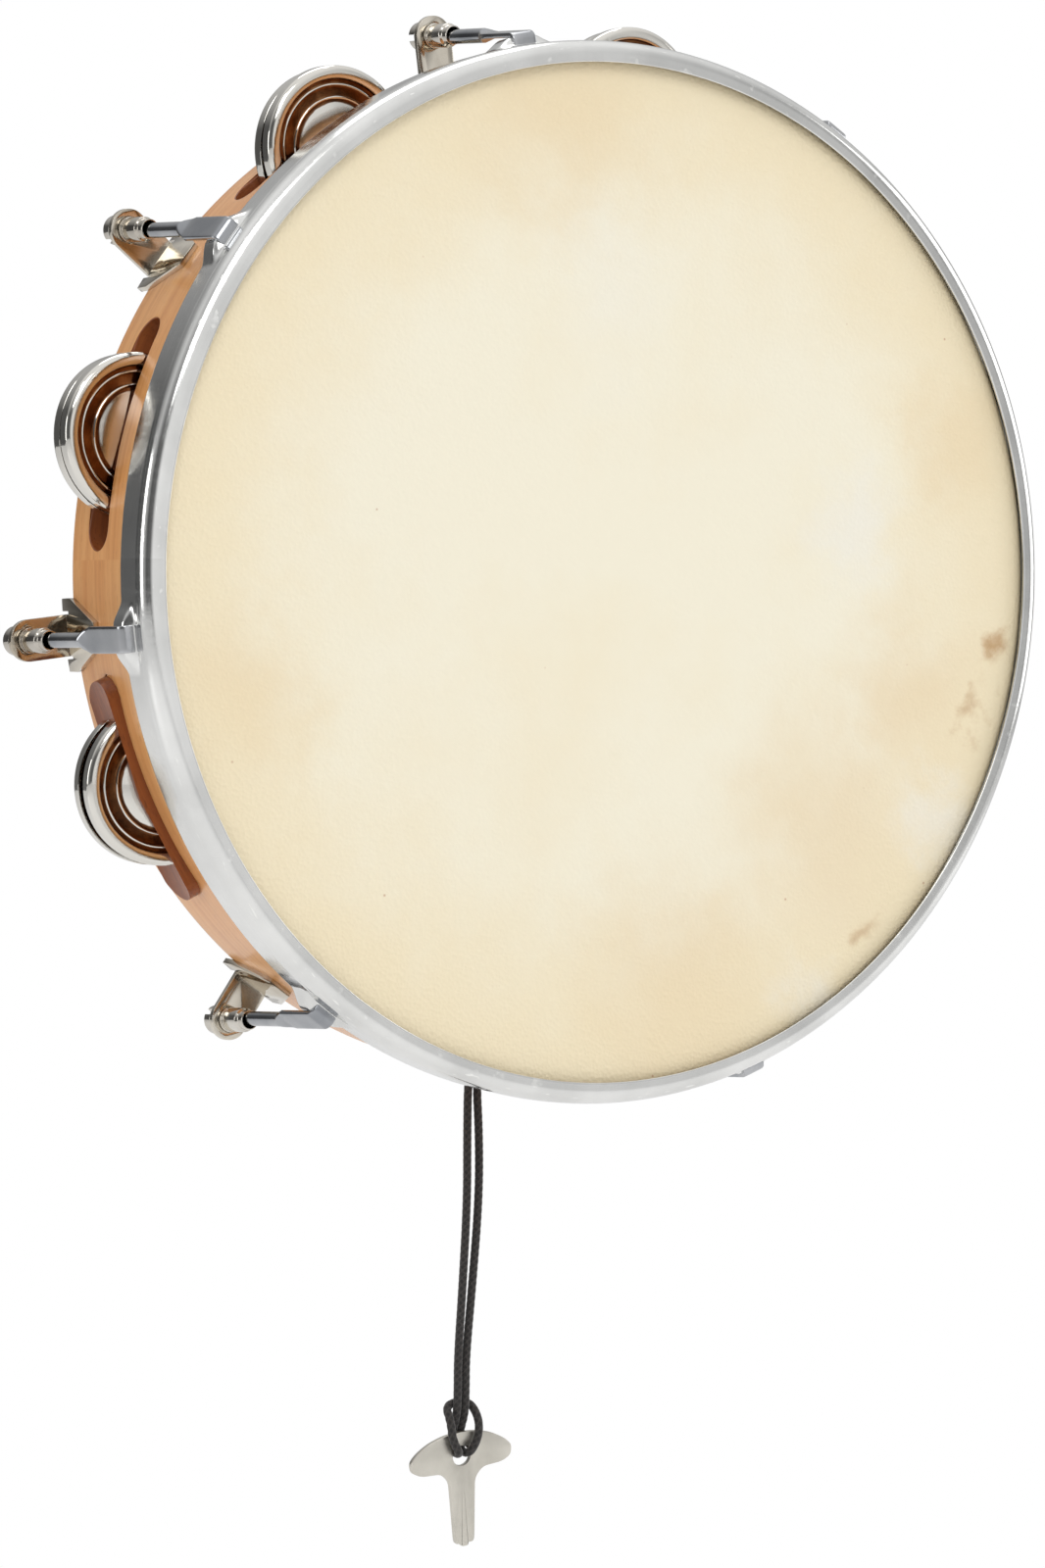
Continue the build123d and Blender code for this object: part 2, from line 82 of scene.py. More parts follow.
# Where the drum lies in the frame: its axis, the front of the hoop (depth 0) and its bearings.
# A bearing runs from +X towards +Z, in radians, and a depth runs from the hoop's front to the back.
shellLow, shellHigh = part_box("wood_shell")
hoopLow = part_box("counterhoop")[0]
drum = {
    "x": (shellLow.x + shellHigh.x) / 2,
    "z": (shellLow.z + shellHigh.z) / 2,
    "front": hoopLow.y,
    "outer": (shellHigh.x - shellLow.x) / 2,
    "shellFront": shellLow.y - hoopLow.y,
    "shellBack": shellHigh.y - hoopLow.y,
}
drumMiddle = np.array([drum["x"], drum["front"], drum["z"]])
jointAt = {j["child"]: j for j in frame["joints"]}
hookCount, jingleCount = 8, 7


def atBearing(bearing, radius, depth):
    # Point of the drum: bearing in radians, radius and depth in metres, all three arrays or numbers.
    bearing, radius, depth = np.broadcast_arrays(bearing, radius, depth)
    x = drum["x"] + radius * np.cos(bearing)
    z = drum["z"] + radius * np.sin(bearing)
    return np.stack([x, drum["front"] + depth, z], axis=-1)


def directionsAt(bearing):
    # Outwards along the radius, and along the rim towards greater bearings.
    return (np.array([math.cos(bearing), 0.0, math.sin(bearing)]),
            np.array([-math.sin(bearing), 0.0, math.cos(bearing)]))


def jointOf(node):
    # Point and axis of the joint that moves a body.
    return np.array(jointAt[node]["pos_m"]), np.array(jointAt[node]["axis"])


def middles(rows):
    # Each row's middle, once for each of the row's points.
    return np.repeat(rows.mean(axis=1, keepdims=True), rows.shape[1], axis=1)


def bearingOf(point):
    return math.atan2(point[2] - drum["z"], point[0] - drum["x"])


def circle(count):
    # Even angles round a full turn, with the first again as the last.
    return np.linspace(0.0, fullTurn, count)


def eased(share):
    # Smooth rise from 0 to 1: three squares less two cubes.
    return share ** 2 * (3 - 2 * share)


def nearestGap(bearings, others):
    # Least angle from each bearing to any of the others, either way round.
    away = (bearings[:, None] - np.array(others)[None, :] + math.pi) % fullTurn - math.pi
    return np.min(np.abs(away), axis=1)


def arcRows(centre, radius, start, end, count):
    # Points on a circle: centre plus radius times cosine and sine of an even run of angles in degrees.
    angle = np.radians(np.linspace(start, end, count))
    return np.stack([centre[0] + radius * np.cos(angle), centre[1] + radius * np.sin(angle)], axis=1)


def gridMesh(name, grid, keep=None, marks=None, inward=False):
    # A quad for each cell of a grid of points (rows, columns, xyz); keep masks cells out.
    rows, columns = grid.shape[:2]
    index = np.arange(rows * columns).reshape(rows, columns)
    quads = np.stack([index[:-1, :-1], index[:-1, 1:], index[1:, 1:], index[1:, :-1]], axis=-1)
    quads = quads.reshape(-1, 4) if keep is None else quads[keep]
    if inward:
        quads = quads[:, ::-1]
    mesh = bpy.data.meshes.new(name)
    mesh.vertices.add(rows * columns)
    mesh.vertices.foreach_set("co", np.ascontiguousarray(grid, dtype=np.float32).ravel())
    mesh.loops.add(quads.size)
    mesh.loops.foreach_set("vertex_index", np.ascontiguousarray(quads, dtype=np.int32).ravel())
    mesh.polygons.add(len(quads))
    mesh.polygons.foreach_set("loop_start", np.arange(len(quads), dtype=np.int32) * 4)
    mesh.update(calc_edges=True)
    for mark, values in (marks or {}).items():
        layer = mesh.attributes.new(mark, "FLOAT", "POINT")
        layer.data.foreach_set("value", np.ascontiguousarray(values, dtype=np.float32).ravel())
    return mesh


def weld(mesh, outwards=True):
    # Seams and poles closed by merging points that coincide, then faces turned outwards.
    work = bmesh.new()
    work.from_mesh(mesh)
    bmesh.ops.remove_doubles(work, verts=work.verts, dist=mergeGap)
    loose = [v for v in work.verts if not v.link_faces]
    bmesh.ops.delete(work, geom=loose, context="VERTS")
    if outwards:
        bmesh.ops.recalc_face_normals(work, faces=work.faces)
    work.to_mesh(mesh)
    work.free()
    return mesh


def smooth(mesh, angle=30):
    mesh.shade_smooth()
    mesh.set_sharp_from_angle(angle=math.radians(angle))
    return mesh


def applied(piece):
    # The piece's mesh with its modifiers worked in.
    depsgraph = bpy.context.evaluated_depsgraph_get()
    mesh = bpy.data.meshes.new_from_object(piece.evaluated_get(depsgraph))
    piece.modifiers.clear()
    piece.data = mesh
    return mesh


def addObject(name, data):
    made = bpy.data.objects.new(name, data)
    bpy.context.scene.collection.objects.link(made)
    return made


def place(name, mesh, body, slotName, *materials, nodes=()):
    piece = addObject(name, mesh)
    mesh.materials.clear()
    for material in materials:
        mesh.materials.append(material)
    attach(piece, body)
    if nodes:
        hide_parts(*nodes)
    return piece


def bevelled(piece, width):
    cut = piece.modifiers.new("edges", "BEVEL")
    cut.width = width
    cut.segments = 2
    cut.limit_method = "ANGLE"
    cut.angle_limit = math.radians(35)
    cut.use_clamp_overlap = True
    smooth(applied(piece), 40)
    return piece


def cutAway(piece, cutters):
    for cutter in cutters:
        cut = piece.modifiers.new("cut", "BOOLEAN")
        cut.operation = "DIFFERENCE"
        cut.solver = "EXACT"
        cut.object = cutter
    applied(piece)
    for cutter in cutters:
        bpy.data.objects.remove(cutter)
    return piece


def tool(name, mesh, material=None):
    # A cutter for cutAway, which removes it again.
    if material:
        mesh.materials.append(material)
    return addObject(name, mesh)


def finishedCopy(node, slotName, material, edge):
    # A CAD node's own mesh, merged, with its flat faces made whole and its edges broken.
    source = frame["nodes"][node]
    mesh = source.data.copy()
    work = bmesh.new()
    work.from_mesh(mesh)
    bmesh.ops.remove_doubles(work, verts=work.verts, dist=mergeGap)
    bmesh.ops.dissolve_limit(work, angle_limit=math.radians(0.6), verts=work.verts, edges=work.edges)
    work.to_mesh(mesh)
    work.free()
    piece = place(node + "_finished", mesh, source["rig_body"], slotName, material, nodes=[node])
    return bevelled(piece, edge)


def hexColour(code, alpha=1.0):
    # sRGB hex to linear: the power curve of the standard, with its short straight foot.
    channels = np.array([int(code[k:k + 2], 16) for k in (1, 3, 5)]) / 255
    linear = np.where(channels <= 0.04045, channels / 12.92, ((channels + 0.055) / 1.055) ** 2.4)
    return (*linear.tolist(), alpha)


# settings of a Mix node that mixes colours, whose sockets 6 and 7 are its colours
colourMix = {"data_type": "RGBA", "blend_type": "MIX"}


def setInputs(tree, node, inputs):
    # Gives each socket a value, a hex colour, or a socket or node to link from. A node stands for its first
    # output, or for its colour where it mixes colours.
    for socket, value in inputs.items():
        if isinstance(value, bpy.types.Node):
            value = value.outputs[2 if value.bl_idname == "ShaderNodeMix" else 0]
        if isinstance(value, bpy.types.NodeSocket):
            tree.links.new(value, node.inputs[socket])
        else:
            node.inputs[socket].default_value = hexColour(value) if isinstance(value, str) else value


def addNode(tree, kind, inputs=None, stops=None, **settings):
    # Adds a shader node, by its kind without the common beginning; stops fill a ramp.
    node = tree.nodes.new("ShaderNode" + kind)
    for name, value in settings.items():
        setattr(node, name, value)
    setInputs(tree, node, inputs or {})
    for k, (position, value) in enumerate(stops or []):
        element = node.color_ramp.elements[k] if k < 2 else node.color_ramp.elements.new(position)
        element.position = position
        element.color = hexColour(value) if isinstance(value, str) else (value, value, value, 1)
    return node


def newMaterial(name):
    # A material, the function that adds a node to it, and its object coordinates.
    material = bpy.data.materials.new(name)
    material.use_nodes = True
    add = partial(addNode, material.node_tree)
    return material, add, add("TexCoord").outputs["Object"]


def setShader(material, **values):
    # Sets the shader's sockets by short names.
    names = {"colour": "Base Color", "metal": "Metallic", "rough": "Roughness", "coat": "Coat Weight",
             "coatRough": "Coat Roughness", "sheen": "Sheen Weight", "sheenRough": "Sheen Roughness",
             "ior": "IOR", "normal": "Normal"}
    tree = material.node_tree
    setInputs(tree, tree.nodes["Principled BSDF"], {names[name]: value for name, value in values.items()})
    return material


def platedSteel(name, colour, shade, rough, polishScale, polishDepth):
    # Electroplated steel: a bright metal whose roughness and tone follow one slow cloud noise, over a fine
    # noise in the surface that stands for polishing and breaks its reflections up a little.
    material, add, where = newMaterial(name)
    cloud = add("TexNoise", {"Vector": where, "Scale": 55.0, "Detail": 4.0})
    fine = add("TexNoise", {"Vector": where, "Scale": polishScale, "Detail": 3.0})
    roughness = add("MapRange", {"Value": cloud, 1: 0.3, 2: 0.75, 3: rough * 0.6, 4: rough * 1.5})
    tint = add("ValToRGB", {"Fac": cloud}, stops=[(0.35, shade), (0.65, colour)])
    bump = add("Bump", {"Height": fine, "Strength": polishDepth, "Distance": 0.02 * mm})
    return setShader(material, colour=tint, metal=1.0, rough=roughness, normal=bump)


def hoopPlate():
    # Bright plating on rolled sheet: fine lines across the flange and a few scratches, on polar coordinates
    # of the drum (bearing times radius, radius, depth), so that they follow the rim.
    material, add, where = newMaterial("bright plated rolled hoop")
    polar = polarOfDrum(add, where)
    stretched = add("Mapping", {"Vector": polar, "Scale": (900.0, 60.0, 60.0)})
    across = add("TexNoise", {"Vector": stretched, "Scale": 1.0, "Detail": 4.0, "Roughness": 0.65})
    cloud = add("TexNoise", {"Vector": polar, "Scale": 40.0, "Detail": 5.0})
    scratches = add("Mapping", {"Vector": polar, "Rotation": (0.0, 0.5, 0.9),
                                "Scale": (260.0, 2600.0, 260.0)})
    scratchNoise = add("TexNoise", {"Vector": scratches, "Scale": 1.0, "Detail": 2.0})
    lines = add("ValToRGB", {"Fac": scratchNoise}, stops=[(0.66, 0.0), (0.72, 1.0)])
    roughness = add("MapRange", {"Value": across, 1: 0.3, 2: 0.7, 3: 0.08, 4: 0.18})
    tint = add("ValToRGB", {"Fac": cloud}, stops=[(0.32, "#D6D6D4"), (0.62, "#EAEAE8")])
    scuffed = add("Mix", {0: lines, 6: tint, 7: "#F2F2EF"}, **colourMix)
    height = add("Math", {0: across, 1: lines}, operation="ADD")
    bump = add("Bump", {"Height": height, "Strength": 0.12, "Distance": 0.05 * mm})
    return setShader(material, colour=scuffed, metal=1.0, rough=roughness, normal=bump)


def polarOfDrum(add, where):
    # Object coordinates turned to (bearing x shell radius, depth, distance from the axis), all in metres.
    centred = add("Mapping", {"Vector": where, "Location": tuple(-drumMiddle)})
    parts = add("SeparateXYZ", {0: centred})
    bearing = add("Math", {0: parts.outputs["Z"], 1: parts.outputs["X"]}, operation="ARCTAN2")
    along = add("Math", {0: bearing, 1: drum["outer"]}, operation="MULTIPLY")
    flat = add("CombineXYZ", {0: parts.outputs["X"], 2: parts.outputs["Z"]})
    away = add("VectorMath", {0: flat}, operation="LENGTH")
    return add("CombineXYZ", {0: along, 1: parts.outputs["Y"], 2: away.outputs["Value"]})


def jingleMetal():
    # Spun nickel silver: a polished ring and dome with fine turning lines and small dings. Brown is painted
    # into the trough as a painted reflection of the wooden shell, and partly onto the cup's inside as painted
    # shade between the two discs. The mark "hollow" is 1 in that trough.
    material, add, where = newMaterial("spun nickel silver")
    hollow = add("Attribute", attribute_name="hollow")
    cloud = add("TexNoise", {"Vector": where, "Scale": 160.0, "Detail": 5.0, "Roughness": 0.6})
    spread = add("Math", {0: cloud, 1: 0.5}, operation="SUBTRACT")
    reach = add("Math", {0: spread, 1: 1.1, 2: hollow.outputs["Fac"]}, operation="MULTIPLY_ADD")
    # brown where the mark is high: painted reflection of the wooden shell in the trough, painted shade on the
    # cup's inside
    reflectionAndShade = add("ValToRGB", {"Fac": reach}, stops=[(0.32, 0.0), (0.62, 1.0)])
    brown = add("ValToRGB", {"Fac": cloud}, stops=[(0.3, "#43281A"), (0.55, "#6B4428"), (0.78, "#9A7450")])
    colour = add("Mix", {0: reflectionAndShade, 6: "#DEDBD4", 7: brown}, **colourMix)
    dings = add("TexVoronoi", {"Vector": where, "Scale": 260.0, "Randomness": 1.0})
    dent = add("ValToRGB", {"Fac": dings}, stops=[(0.04, 0.0), (0.18, 1.0)])
    rough = add("MapRange", {"Value": reflectionAndShade, 3: 0.07, 4: 0.2})
    turning = add("Attribute", attribute_name="turning")
    ridges = add("Math", {0: turning.outputs["Fac"], 1: fullTurn / (0.22 * mm)}, operation="MULTIPLY")
    wave = add("Math", {0: ridges}, operation="SINE")
    heights = add("Math", {0: wave, 1: 0.12, 2: dent}, operation="MULTIPLY_ADD")
    bump = add("Bump", {"Height": heights, "Strength": 0.35, "Distance": 0.05 * mm})
    return setShader(material, colour=colour, metal=1.0, rough=rough, normal=bump)


def lacqueredWood(name, tones, gloss):
    # Steam-bent hardwood under clear lacquer: grain that runs round the drum, in streaks about 1 mm wide
    # and 60 mm long, over slow bands of warmer and paler wood, with small dark pores.
    material, add, where = newMaterial(name)
    polar = polarOfDrum(add, where)
    streaks = add("Mapping", {"Vector": polar, "Scale": (16.0, 620.0, 620.0)})
    grain = add("TexNoise", {"Vector": streaks, "Scale": 1.0, "Detail": 6.0, "Roughness": 0.6,
                             "Distortion": 0.4})
    bands = add("Mapping", {"Vector": polar, "Scale": (9.0, 90.0, 90.0)})
    band = add("TexNoise", {"Vector": bands, "Scale": 1.0, "Detail": 3.0})
    poreMap = add("Mapping", {"Vector": polar, "Scale": (240.0, 3000.0, 3000.0)})
    pore = add("TexNoise", {"Vector": poreMap, "Scale": 1.0, "Detail": 2.0})
    pores = add("ValToRGB", {"Fac": pore}, stops=[(0.62, 0.0), (0.74, 0.55)])
    fine = add("ValToRGB", {"Fac": grain}, stops=[(0.25, tones[0]), (0.5, tones[1]), (0.75, tones[2])])
    slow = add("ValToRGB", {"Fac": band}, stops=[(0.3, tones[3]), (0.7, tones[2])])
    blended = add("Mix", {0: 0.4, 6: fine, 7: slow}, **colourMix)
    colour = add("Mix", {0: pores, 6: blended, 7: tones[4]}, **colourMix)
    bump = add("Bump", {"Height": grain, "Strength": 0.18, "Distance": 0.08 * mm})
    return setShader(material, colour=colour, rough=0.45, coat=gloss, coatRough=0.18, ior=1.5, normal=bump)


skin = {
    "centre": "#F8F1DB", "edge": "#F5E6C4", "tan": "#E9CB9A", "stain": "#BE9463", "white": "#F4F2EA",
    # soft patches: x and z in mm from the drum's axis, radius in mm, strength
    "tanPatches": [(62, -60, 44, 0.4), (88, -28, 34, 0.4), (20, -98, 46, 0.35), (-20, 108, 40, 0.3),
                   (104, 40, 26, 0.3), (-104, -30, 30, 0.3)],
    "stains": [(118, -20, 9, 0.85), (76, -88, 7, 0.5), (113, -34, 6, 0.5)],
    "whitePatches": [(73, 14, 22, 0.55), (-6, 70, 28, 0.25), (100, -58, 16, 0.5), (60, -106, 14, 0.4)],
}


def calfSkin():
    # Scraped calf skin: pale cream that warms towards the rim, with slow tan clouds, set patches of tan, chalk
    # and stain pushed about by a noise, small brown flecks, and a pebbled grain that is strongest near the rim.
    material, add, where = newMaterial("natural calf skin")
    centred = add("Mapping", {"Vector": where, "Location": tuple(-drumMiddle)})
    flat = add("VectorMath", {0: centred, 1: (1.0, 0.0, 1.0)}, operation="MULTIPLY")
    wobble = add("TexNoise", {"Vector": flat, "Scale": 38.0, "Detail": 6.0, "Roughness": 0.62})
    shift = add("VectorMath", {0: wobble.outputs["Color"], 1: (0.5, 0.5, 0.5)}, operation="SUBTRACT")
    pushed = add("VectorMath", {0: shift, 1: (0.045, 0.0, 0.045), 2: flat}, operation="MULTIPLY_ADD")

    def patches(listed):
        total = None
        for x, z, radius, strength in listed:
            gap = add("VectorMath", {0: pushed, 1: (x * mm, 0.0, z * mm)}, operation="DISTANCE")
            spot = add("MapRange", {"Value": gap.outputs["Value"], 1: radius * mm, 2: 0.0, 3: 0.0,
                                    4: strength}, interpolation_type="SMOOTHSTEP")
            if total is None:
                total = spot
            else:
                total = add("Math", {0: total, 1: spot}, operation="MAXIMUM")
        return total

    away = add("VectorMath", {0: pushed}, operation="LENGTH")
    edge = add("MapRange", {"Value": away.outputs["Value"], 1: 70 * mm, 2: 126 * mm, 3: 0.0, 4: 1.0},
               interpolation_type="SMOOTHSTEP")
    base = add("Mix", {0: edge, 6: skin["centre"], 7: skin["edge"]}, **colourMix)
    cloud = add("TexNoise", {"Vector": flat, "Scale": 16.0, "Detail": 5.0, "Roughness": 0.55})
    clouds = add("ValToRGB", {"Fac": cloud}, stops=[(0.48, 0.0), (0.75, 0.5)])
    base = add("Mix", {0: clouds, 6: base, 7: skin["edge"]}, **colourMix)
    base = add("Mix", {0: patches(skin["tanPatches"]), 6: base, 7: skin["tan"]}, **colourMix)
    base = add("Mix", {0: patches(skin["whitePatches"]), 6: base, 7: skin["white"]}, **colourMix)
    base = add("Mix", {0: patches(skin["stains"]), 6: base, 7: skin["stain"]}, **colourMix)
    fleck = add("TexVoronoi", {"Vector": flat, "Scale": 70.0})
    flecks = add("ValToRGB", {"Fac": fleck}, stops=[(0.012, 0.55), (0.03, 0.0)])
    base = add("Mix", {0: flecks, 6: base, 7: "#B77A50"}, **colourMix)
    pebble = add("TexVoronoi", {"Vector": flat, "Scale": 1100.0})
    fibres = add("TexNoise", {"Vector": flat, "Scale": 600.0, "Detail": 4.0})
    depth = add("MapRange", {"Value": away.outputs["Value"], 1: 20 * mm, 2: 122 * mm, 3: 0.25, 4: 1.0})
    scaled = add("Math", {0: pebble, 1: depth}, operation="MULTIPLY")
    height = add("Math", {0: fibres, 1: 0.6, 2: scaled}, operation="MULTIPLY_ADD")
    bump = add("Bump", {"Height": height, "Strength": 0.5, "Distance": 0.25 * mm})
    return setShader(material, colour=base, rough=0.55, ior=1.45, coat=0.12, coatRough=0.35, normal=bump)


def braidedCord():
    # Braided polyester: matt near-black yarn with a soft sheen in the shader, and a painted sheen that lightens
    # the colour on the crowns of the strands, with painted shade in the grooves between them; the fibres of a
    # yarn are finer than can show, so a fine noise stands for them. The mark "crown" is 1 on top of a strand.
    material, add, where = newMaterial("braided polyester cord")
    crown = add("Attribute", attribute_name="crown")
    fibre = add("TexNoise", {"Vector": where, "Scale": 5000.0, "Detail": 2.0})
    # the crown lifts the tone: painted sheen on each strand's top, painted shade in the grooves between strands
    tone = add("Math", {0: fibre, 1: 0.5, 2: crown.outputs["Fac"]}, operation="MULTIPLY_ADD")
    colour = add("ValToRGB", {"Fac": tone}, stops=[(0.1, "#0B0A0A"), (1.2 / 1.5, "#3A3634")])
    return setShader(material, colour=colour, rough=0.75, sheen=0.35, sheenRough=0.4)


def satinKeySteel():
    # Blanked and tumbled steel: a satin surface with random short scratches and a slightly warm tone.
    material, add, where = newMaterial("tumbled satin steel")
    grit = add("TexNoise", {"Vector": where, "Scale": 900.0, "Detail": 5.0, "Roughness": 0.7})
    cloud = add("TexNoise", {"Vector": where, "Scale": 90.0, "Detail": 4.0})
    colour = add("ValToRGB", {"Fac": cloud}, stops=[(0.3, "#C6C2B8"), (0.7, "#DCD8CE")])
    rough = add("MapRange", {"Value": grit, 1: 0.3, 2: 0.7, 3: 0.3, 4: 0.48})
    bump = add("Bump", {"Height": grit, "Strength": 0.25, "Distance": 0.04 * mm})
    return setShader(material, colour=colour, metal=1.0, rough=rough, normal=bump)


room = {
    "eye": (-431.1, -728.3, 107.2), "look": (0.5201, 0.8532, -0.0403), "up": (0.0, 0.0472, 0.9989),
    "lens": 76.5, "sensor": 36.0, "floorDrop": 0.25, "floorSize": 8.0,
    # level of the walls by compass direction, from the left round by the front to the right and the back
    "walls": [(0.0, 0.50), (0.07, 0.10), (0.15, 0.14), (0.21, 0.90), (0.32, 0.85), (0.37, 0.42), (0.66, 0.40),
              (0.78, 0.18), (0.86, 0.07), (0.94, 0.30), (1.0, 0.50)],
    "roof": [(0.3, 0.0), (0.9, 0.9)],
}


def makeCamera():
    look = Vector(room["look"]).normalized()
    right = look.cross(Vector(room["up"])).normalized()
    up = right.cross(look)
    data = bpy.data.cameras.new("camera")
    data.lens = room["lens"]
    data.sensor_width = room["sensor"]
    camera = addObject("camera", data)
    turn = Matrix((right, up, -look)).transposed().to_4x4()
    camera.matrix_world = Matrix.Translation(Vector(room["eye"]) * mm) @ turn
    bpy.context.scene.camera = camera


def paleFloor():
    # White to the camera and in reflections, and plain pale matt for the light that falls on it.
    material = bpy.data.materials.new("pale floor")
    material.use_nodes = True
    tree = material.node_tree
    setShader(material, colour="#F4F4F4", rough=0.9)
    add = partial(addNode, tree)
    ray = add("LightPath")
    glow = add("Emission", {"Color": "#FFFFFF", "Strength": 1.0})
    both = add("MixShader", {0: ray, 1: tree.nodes["Principled BSDF"], 2: glow})
    setInputs(tree, tree.nodes["Material Output"], {"Surface": both})
    return material


def makeRoom():
    half = room["floorSize"] / 2
    z = cadBox[0].z - room["floorDrop"]
    corners = np.array([[[-half, -half, z], [-half, half, z]], [[half, -half, z], [half, half, z]]])
    floor = addObject("floor", gridMesh("floor", corners, inward=True))
    floor.data.materials.append(paleFloor())
    world = bpy.data.worlds.new("studio")
    bpy.context.scene.world = world
    world.use_nodes = True
    tree = world.node_tree
    # Seen by the camera it is white. For the rest it is a studio: its level changes with the compass
    # direction, so that bright metal has something to mirror, and it grows paler overhead.
    add = partial(addNode, tree)
    ray = add("LightPath")
    sky = add("TexCoord")
    parts = add("SeparateXYZ", {0: sky.outputs["Generated"]})
    compass = add("Math", {0: parts.outputs["Y"], 1: parts.outputs["X"]}, operation="ARCTAN2")
    around = add("MapRange", {"Value": compass, 1: -math.pi, 2: math.pi})
    walls = add("ValToRGB", {"Fac": around}, stops=room["walls"])
    roof = add("ValToRGB", {"Fac": parts.outputs["Z"]}, stops=room["roof"])
    level = add("Mix", {0: roof, 6: walls, 7: "#FFFFFF"}, **colourMix)
    seen = add("Mix", {0: ray, 6: level, 7: "#FFFFFF"}, **colourMix)
    setInputs(tree, tree.nodes["Background"], {"Color": seen})
    bpy.context.scene.view_settings.view_transform = "Standard"


def makeLamps():
    # Soft boxes: place, size in metres and power in watts, all aimed at the drum's middle.
    target = Vector(drumMiddle)
    lamps = {
        "keyBox": ((-0.9, -1.5, 1.4), 1.1, 10.5),
        "fillBox": ((2.0, -0.6, 0.6), 1.4, 9.0),
        "topBox": ((0.1, 0.3, 1.9), 1.0, 5.0),
        "leftStrip": ((-1.7, 0.5, 0.3), 0.7, 4.0),
    }
    for name, (where, size, power) in lamps.items():
        data = bpy.data.lights.new(name, "AREA")
        data.shape = "SQUARE"
        data.size = size
        data.energy = power
        lamp = addObject(name, data)
        lamp.location = where
        lamp.rotation_euler = (target - Vector(where)).to_track_quat("-Z", "Y").to_euler()


makeCamera()
makeRoom()
makeLamps()
print("camera, room and lamps made")


cordSet = {
    "diameter": 2.2, "carriers": 8, "pitch": 7.5, "around": 32, "stepAlong": 0.19, "relief": 0.16,
    "length": 0.2628,
    # the route, in mm: out of the shell, down the left strand, the hitch in the key's hole, and back up
    "route": [
        (0.41, 0.0, 11.09), (-1.25, 0.0, -0.6), (-0.95, 0.2, -17.0), (-0.30, 0.5, -34.0), (-0.85, 0.9, -56.0),
        (-1.55, 1.2, -74.0), (-1.45, 1.0, -83.4), (-1.40, 1.3, -89.1), (-1.35, 3.6, -94.0), (-1.40, 3.4, -99.0),
        (-1.50, -1.4, -99.0), (-4.10, -1.5, -94.7), (-4.40, -0.8, -90.1), (-3.70, 3.5, -86.6),
        (3.30, 3.5, -86.2), (4.00, -0.7, -89.8), (3.70, -1.5, -94.6), (1.10, -1.4, -99.0), (1.00, 3.4, -99.0),
        (0.95, 3.6, -94.0), (0.95, 1.3, -89.0), (0.90, 1.0, -83.2), (0.75, 1.1, -74.0), (1.95, 0.8, -56.0),
        (3.10, 0.4, -34.0), (2.60, 0.2, -17.0), (1.05, 0.0, -0.8), (2.71, 0.0, 11.09),
    ],
}


def splineThrough(points):
    # Fine points of the smooth curve whose control points are given: an order 3 spline that ends on its ends.
    data = bpy.data.curves.new("cordRoute", "CURVE")
    data.dimensions = "3D"
    spline = data.splines.new("NURBS")
    spline.points.add(len(points) - 1)
    for point, where in zip(spline.points, points):
        point.co = (*[v * mm for v in where], 1.0)
    spline.order_u = 3
    spline.use_endpoint_u = True
    spline.resolution_u = 24
    guide = addObject("cordRoute", data)
    line = bpy.data.meshes.new_from_object(guide.evaluated_get(bpy.context.evaluated_depsgraph_get()))
    found = np.zeros(len(line.vertices) * 3)
    line.vertices.foreach_get("co", found)
    bpy.data.objects.remove(guide)
    bpy.data.meshes.remove(line)
    return found.reshape(-1, 3)


def evenly(points, step):
    # Points at an even spacing along a line, by its running length.
    run = np.concatenate([[0.0], np.cumsum(np.linalg.norm(np.diff(points, axis=0), axis=1))])
    where = np.linspace(0.0, run[-1], int(run[-1] / step) + 1)
    return np.stack([np.interp(where, run, points[:, k]) for k in range(3)], axis=1), where


def carriedFrames(points):
    # Two directions across the line at each point, carried along it without twist: each step turns the
    # last pair by the shortest turn from the old tangent to the new one.
    tangent = np.gradient(points, axis=0)
    tangent /= np.linalg.norm(tangent, axis=1)[:, None]
    side = np.cross(tangent[0], (0.0, 1.0, 0.0))
    side /= np.linalg.norm(side)
    sides = []
    for t in tangent:
        side = side - t * np.dot(side, t)
        side = side / np.linalg.norm(side)
        sides.append(side)
    sides = np.array(sides)
    return sides, np.cross(tangent, sides)


def braidTube(name, points):
    # Round tube whose radius rises on each strand: two families of helices run opposite ways, and the
    # higher of their two cosine ridges, each one over and under in turn, is the surface.
    points, run = evenly(points, cordSet["stepAlong"] * mm)
    side, other = carriedFrames(points)
    angle = circle(cordSet["around"] + 1)
    turn = fullTurn * run[:, None] / (cordSet["pitch"] * mm)
    strands = cordSet["carriers"] / 2
    right = strands * (angle[None, :] - turn)
    left = strands * (angle[None, :] + turn)
    over = 0.5 + 0.5 * np.cos((right + left) / 2) * np.cos((right - left) / 2)
    ridgeRight = np.abs(np.cos(right / 2)) * (0.72 + 0.28 * over)
    ridgeLeft = np.abs(np.cos(left / 2)) * (0.72 + 0.28 * (1 - over))
    crown = np.maximum(ridgeRight, ridgeLeft)
    radius = cordSet["diameter"] / 2 * mm - cordSet["relief"] * mm * (1 - crown)
    ends = np.minimum(run, run[-1] - run) / (0.6 * mm)
    radius = radius * np.sqrt(1 - (1 - np.clip(ends, 0.0, 1.0)) ** 2)[:, None]
    ring = np.cos(angle)[None, :, None] * side[:, None, :] + np.sin(angle)[None, :, None] * other[:, None, :]
    grid = points[:, None, :] + radius[..., None] * ring
    mesh = gridMesh(name, grid, marks={"crown": np.clip((crown - 0.7) / 0.3, 0.0, 1.0)})
    return smooth(weld(mesh), 80), points


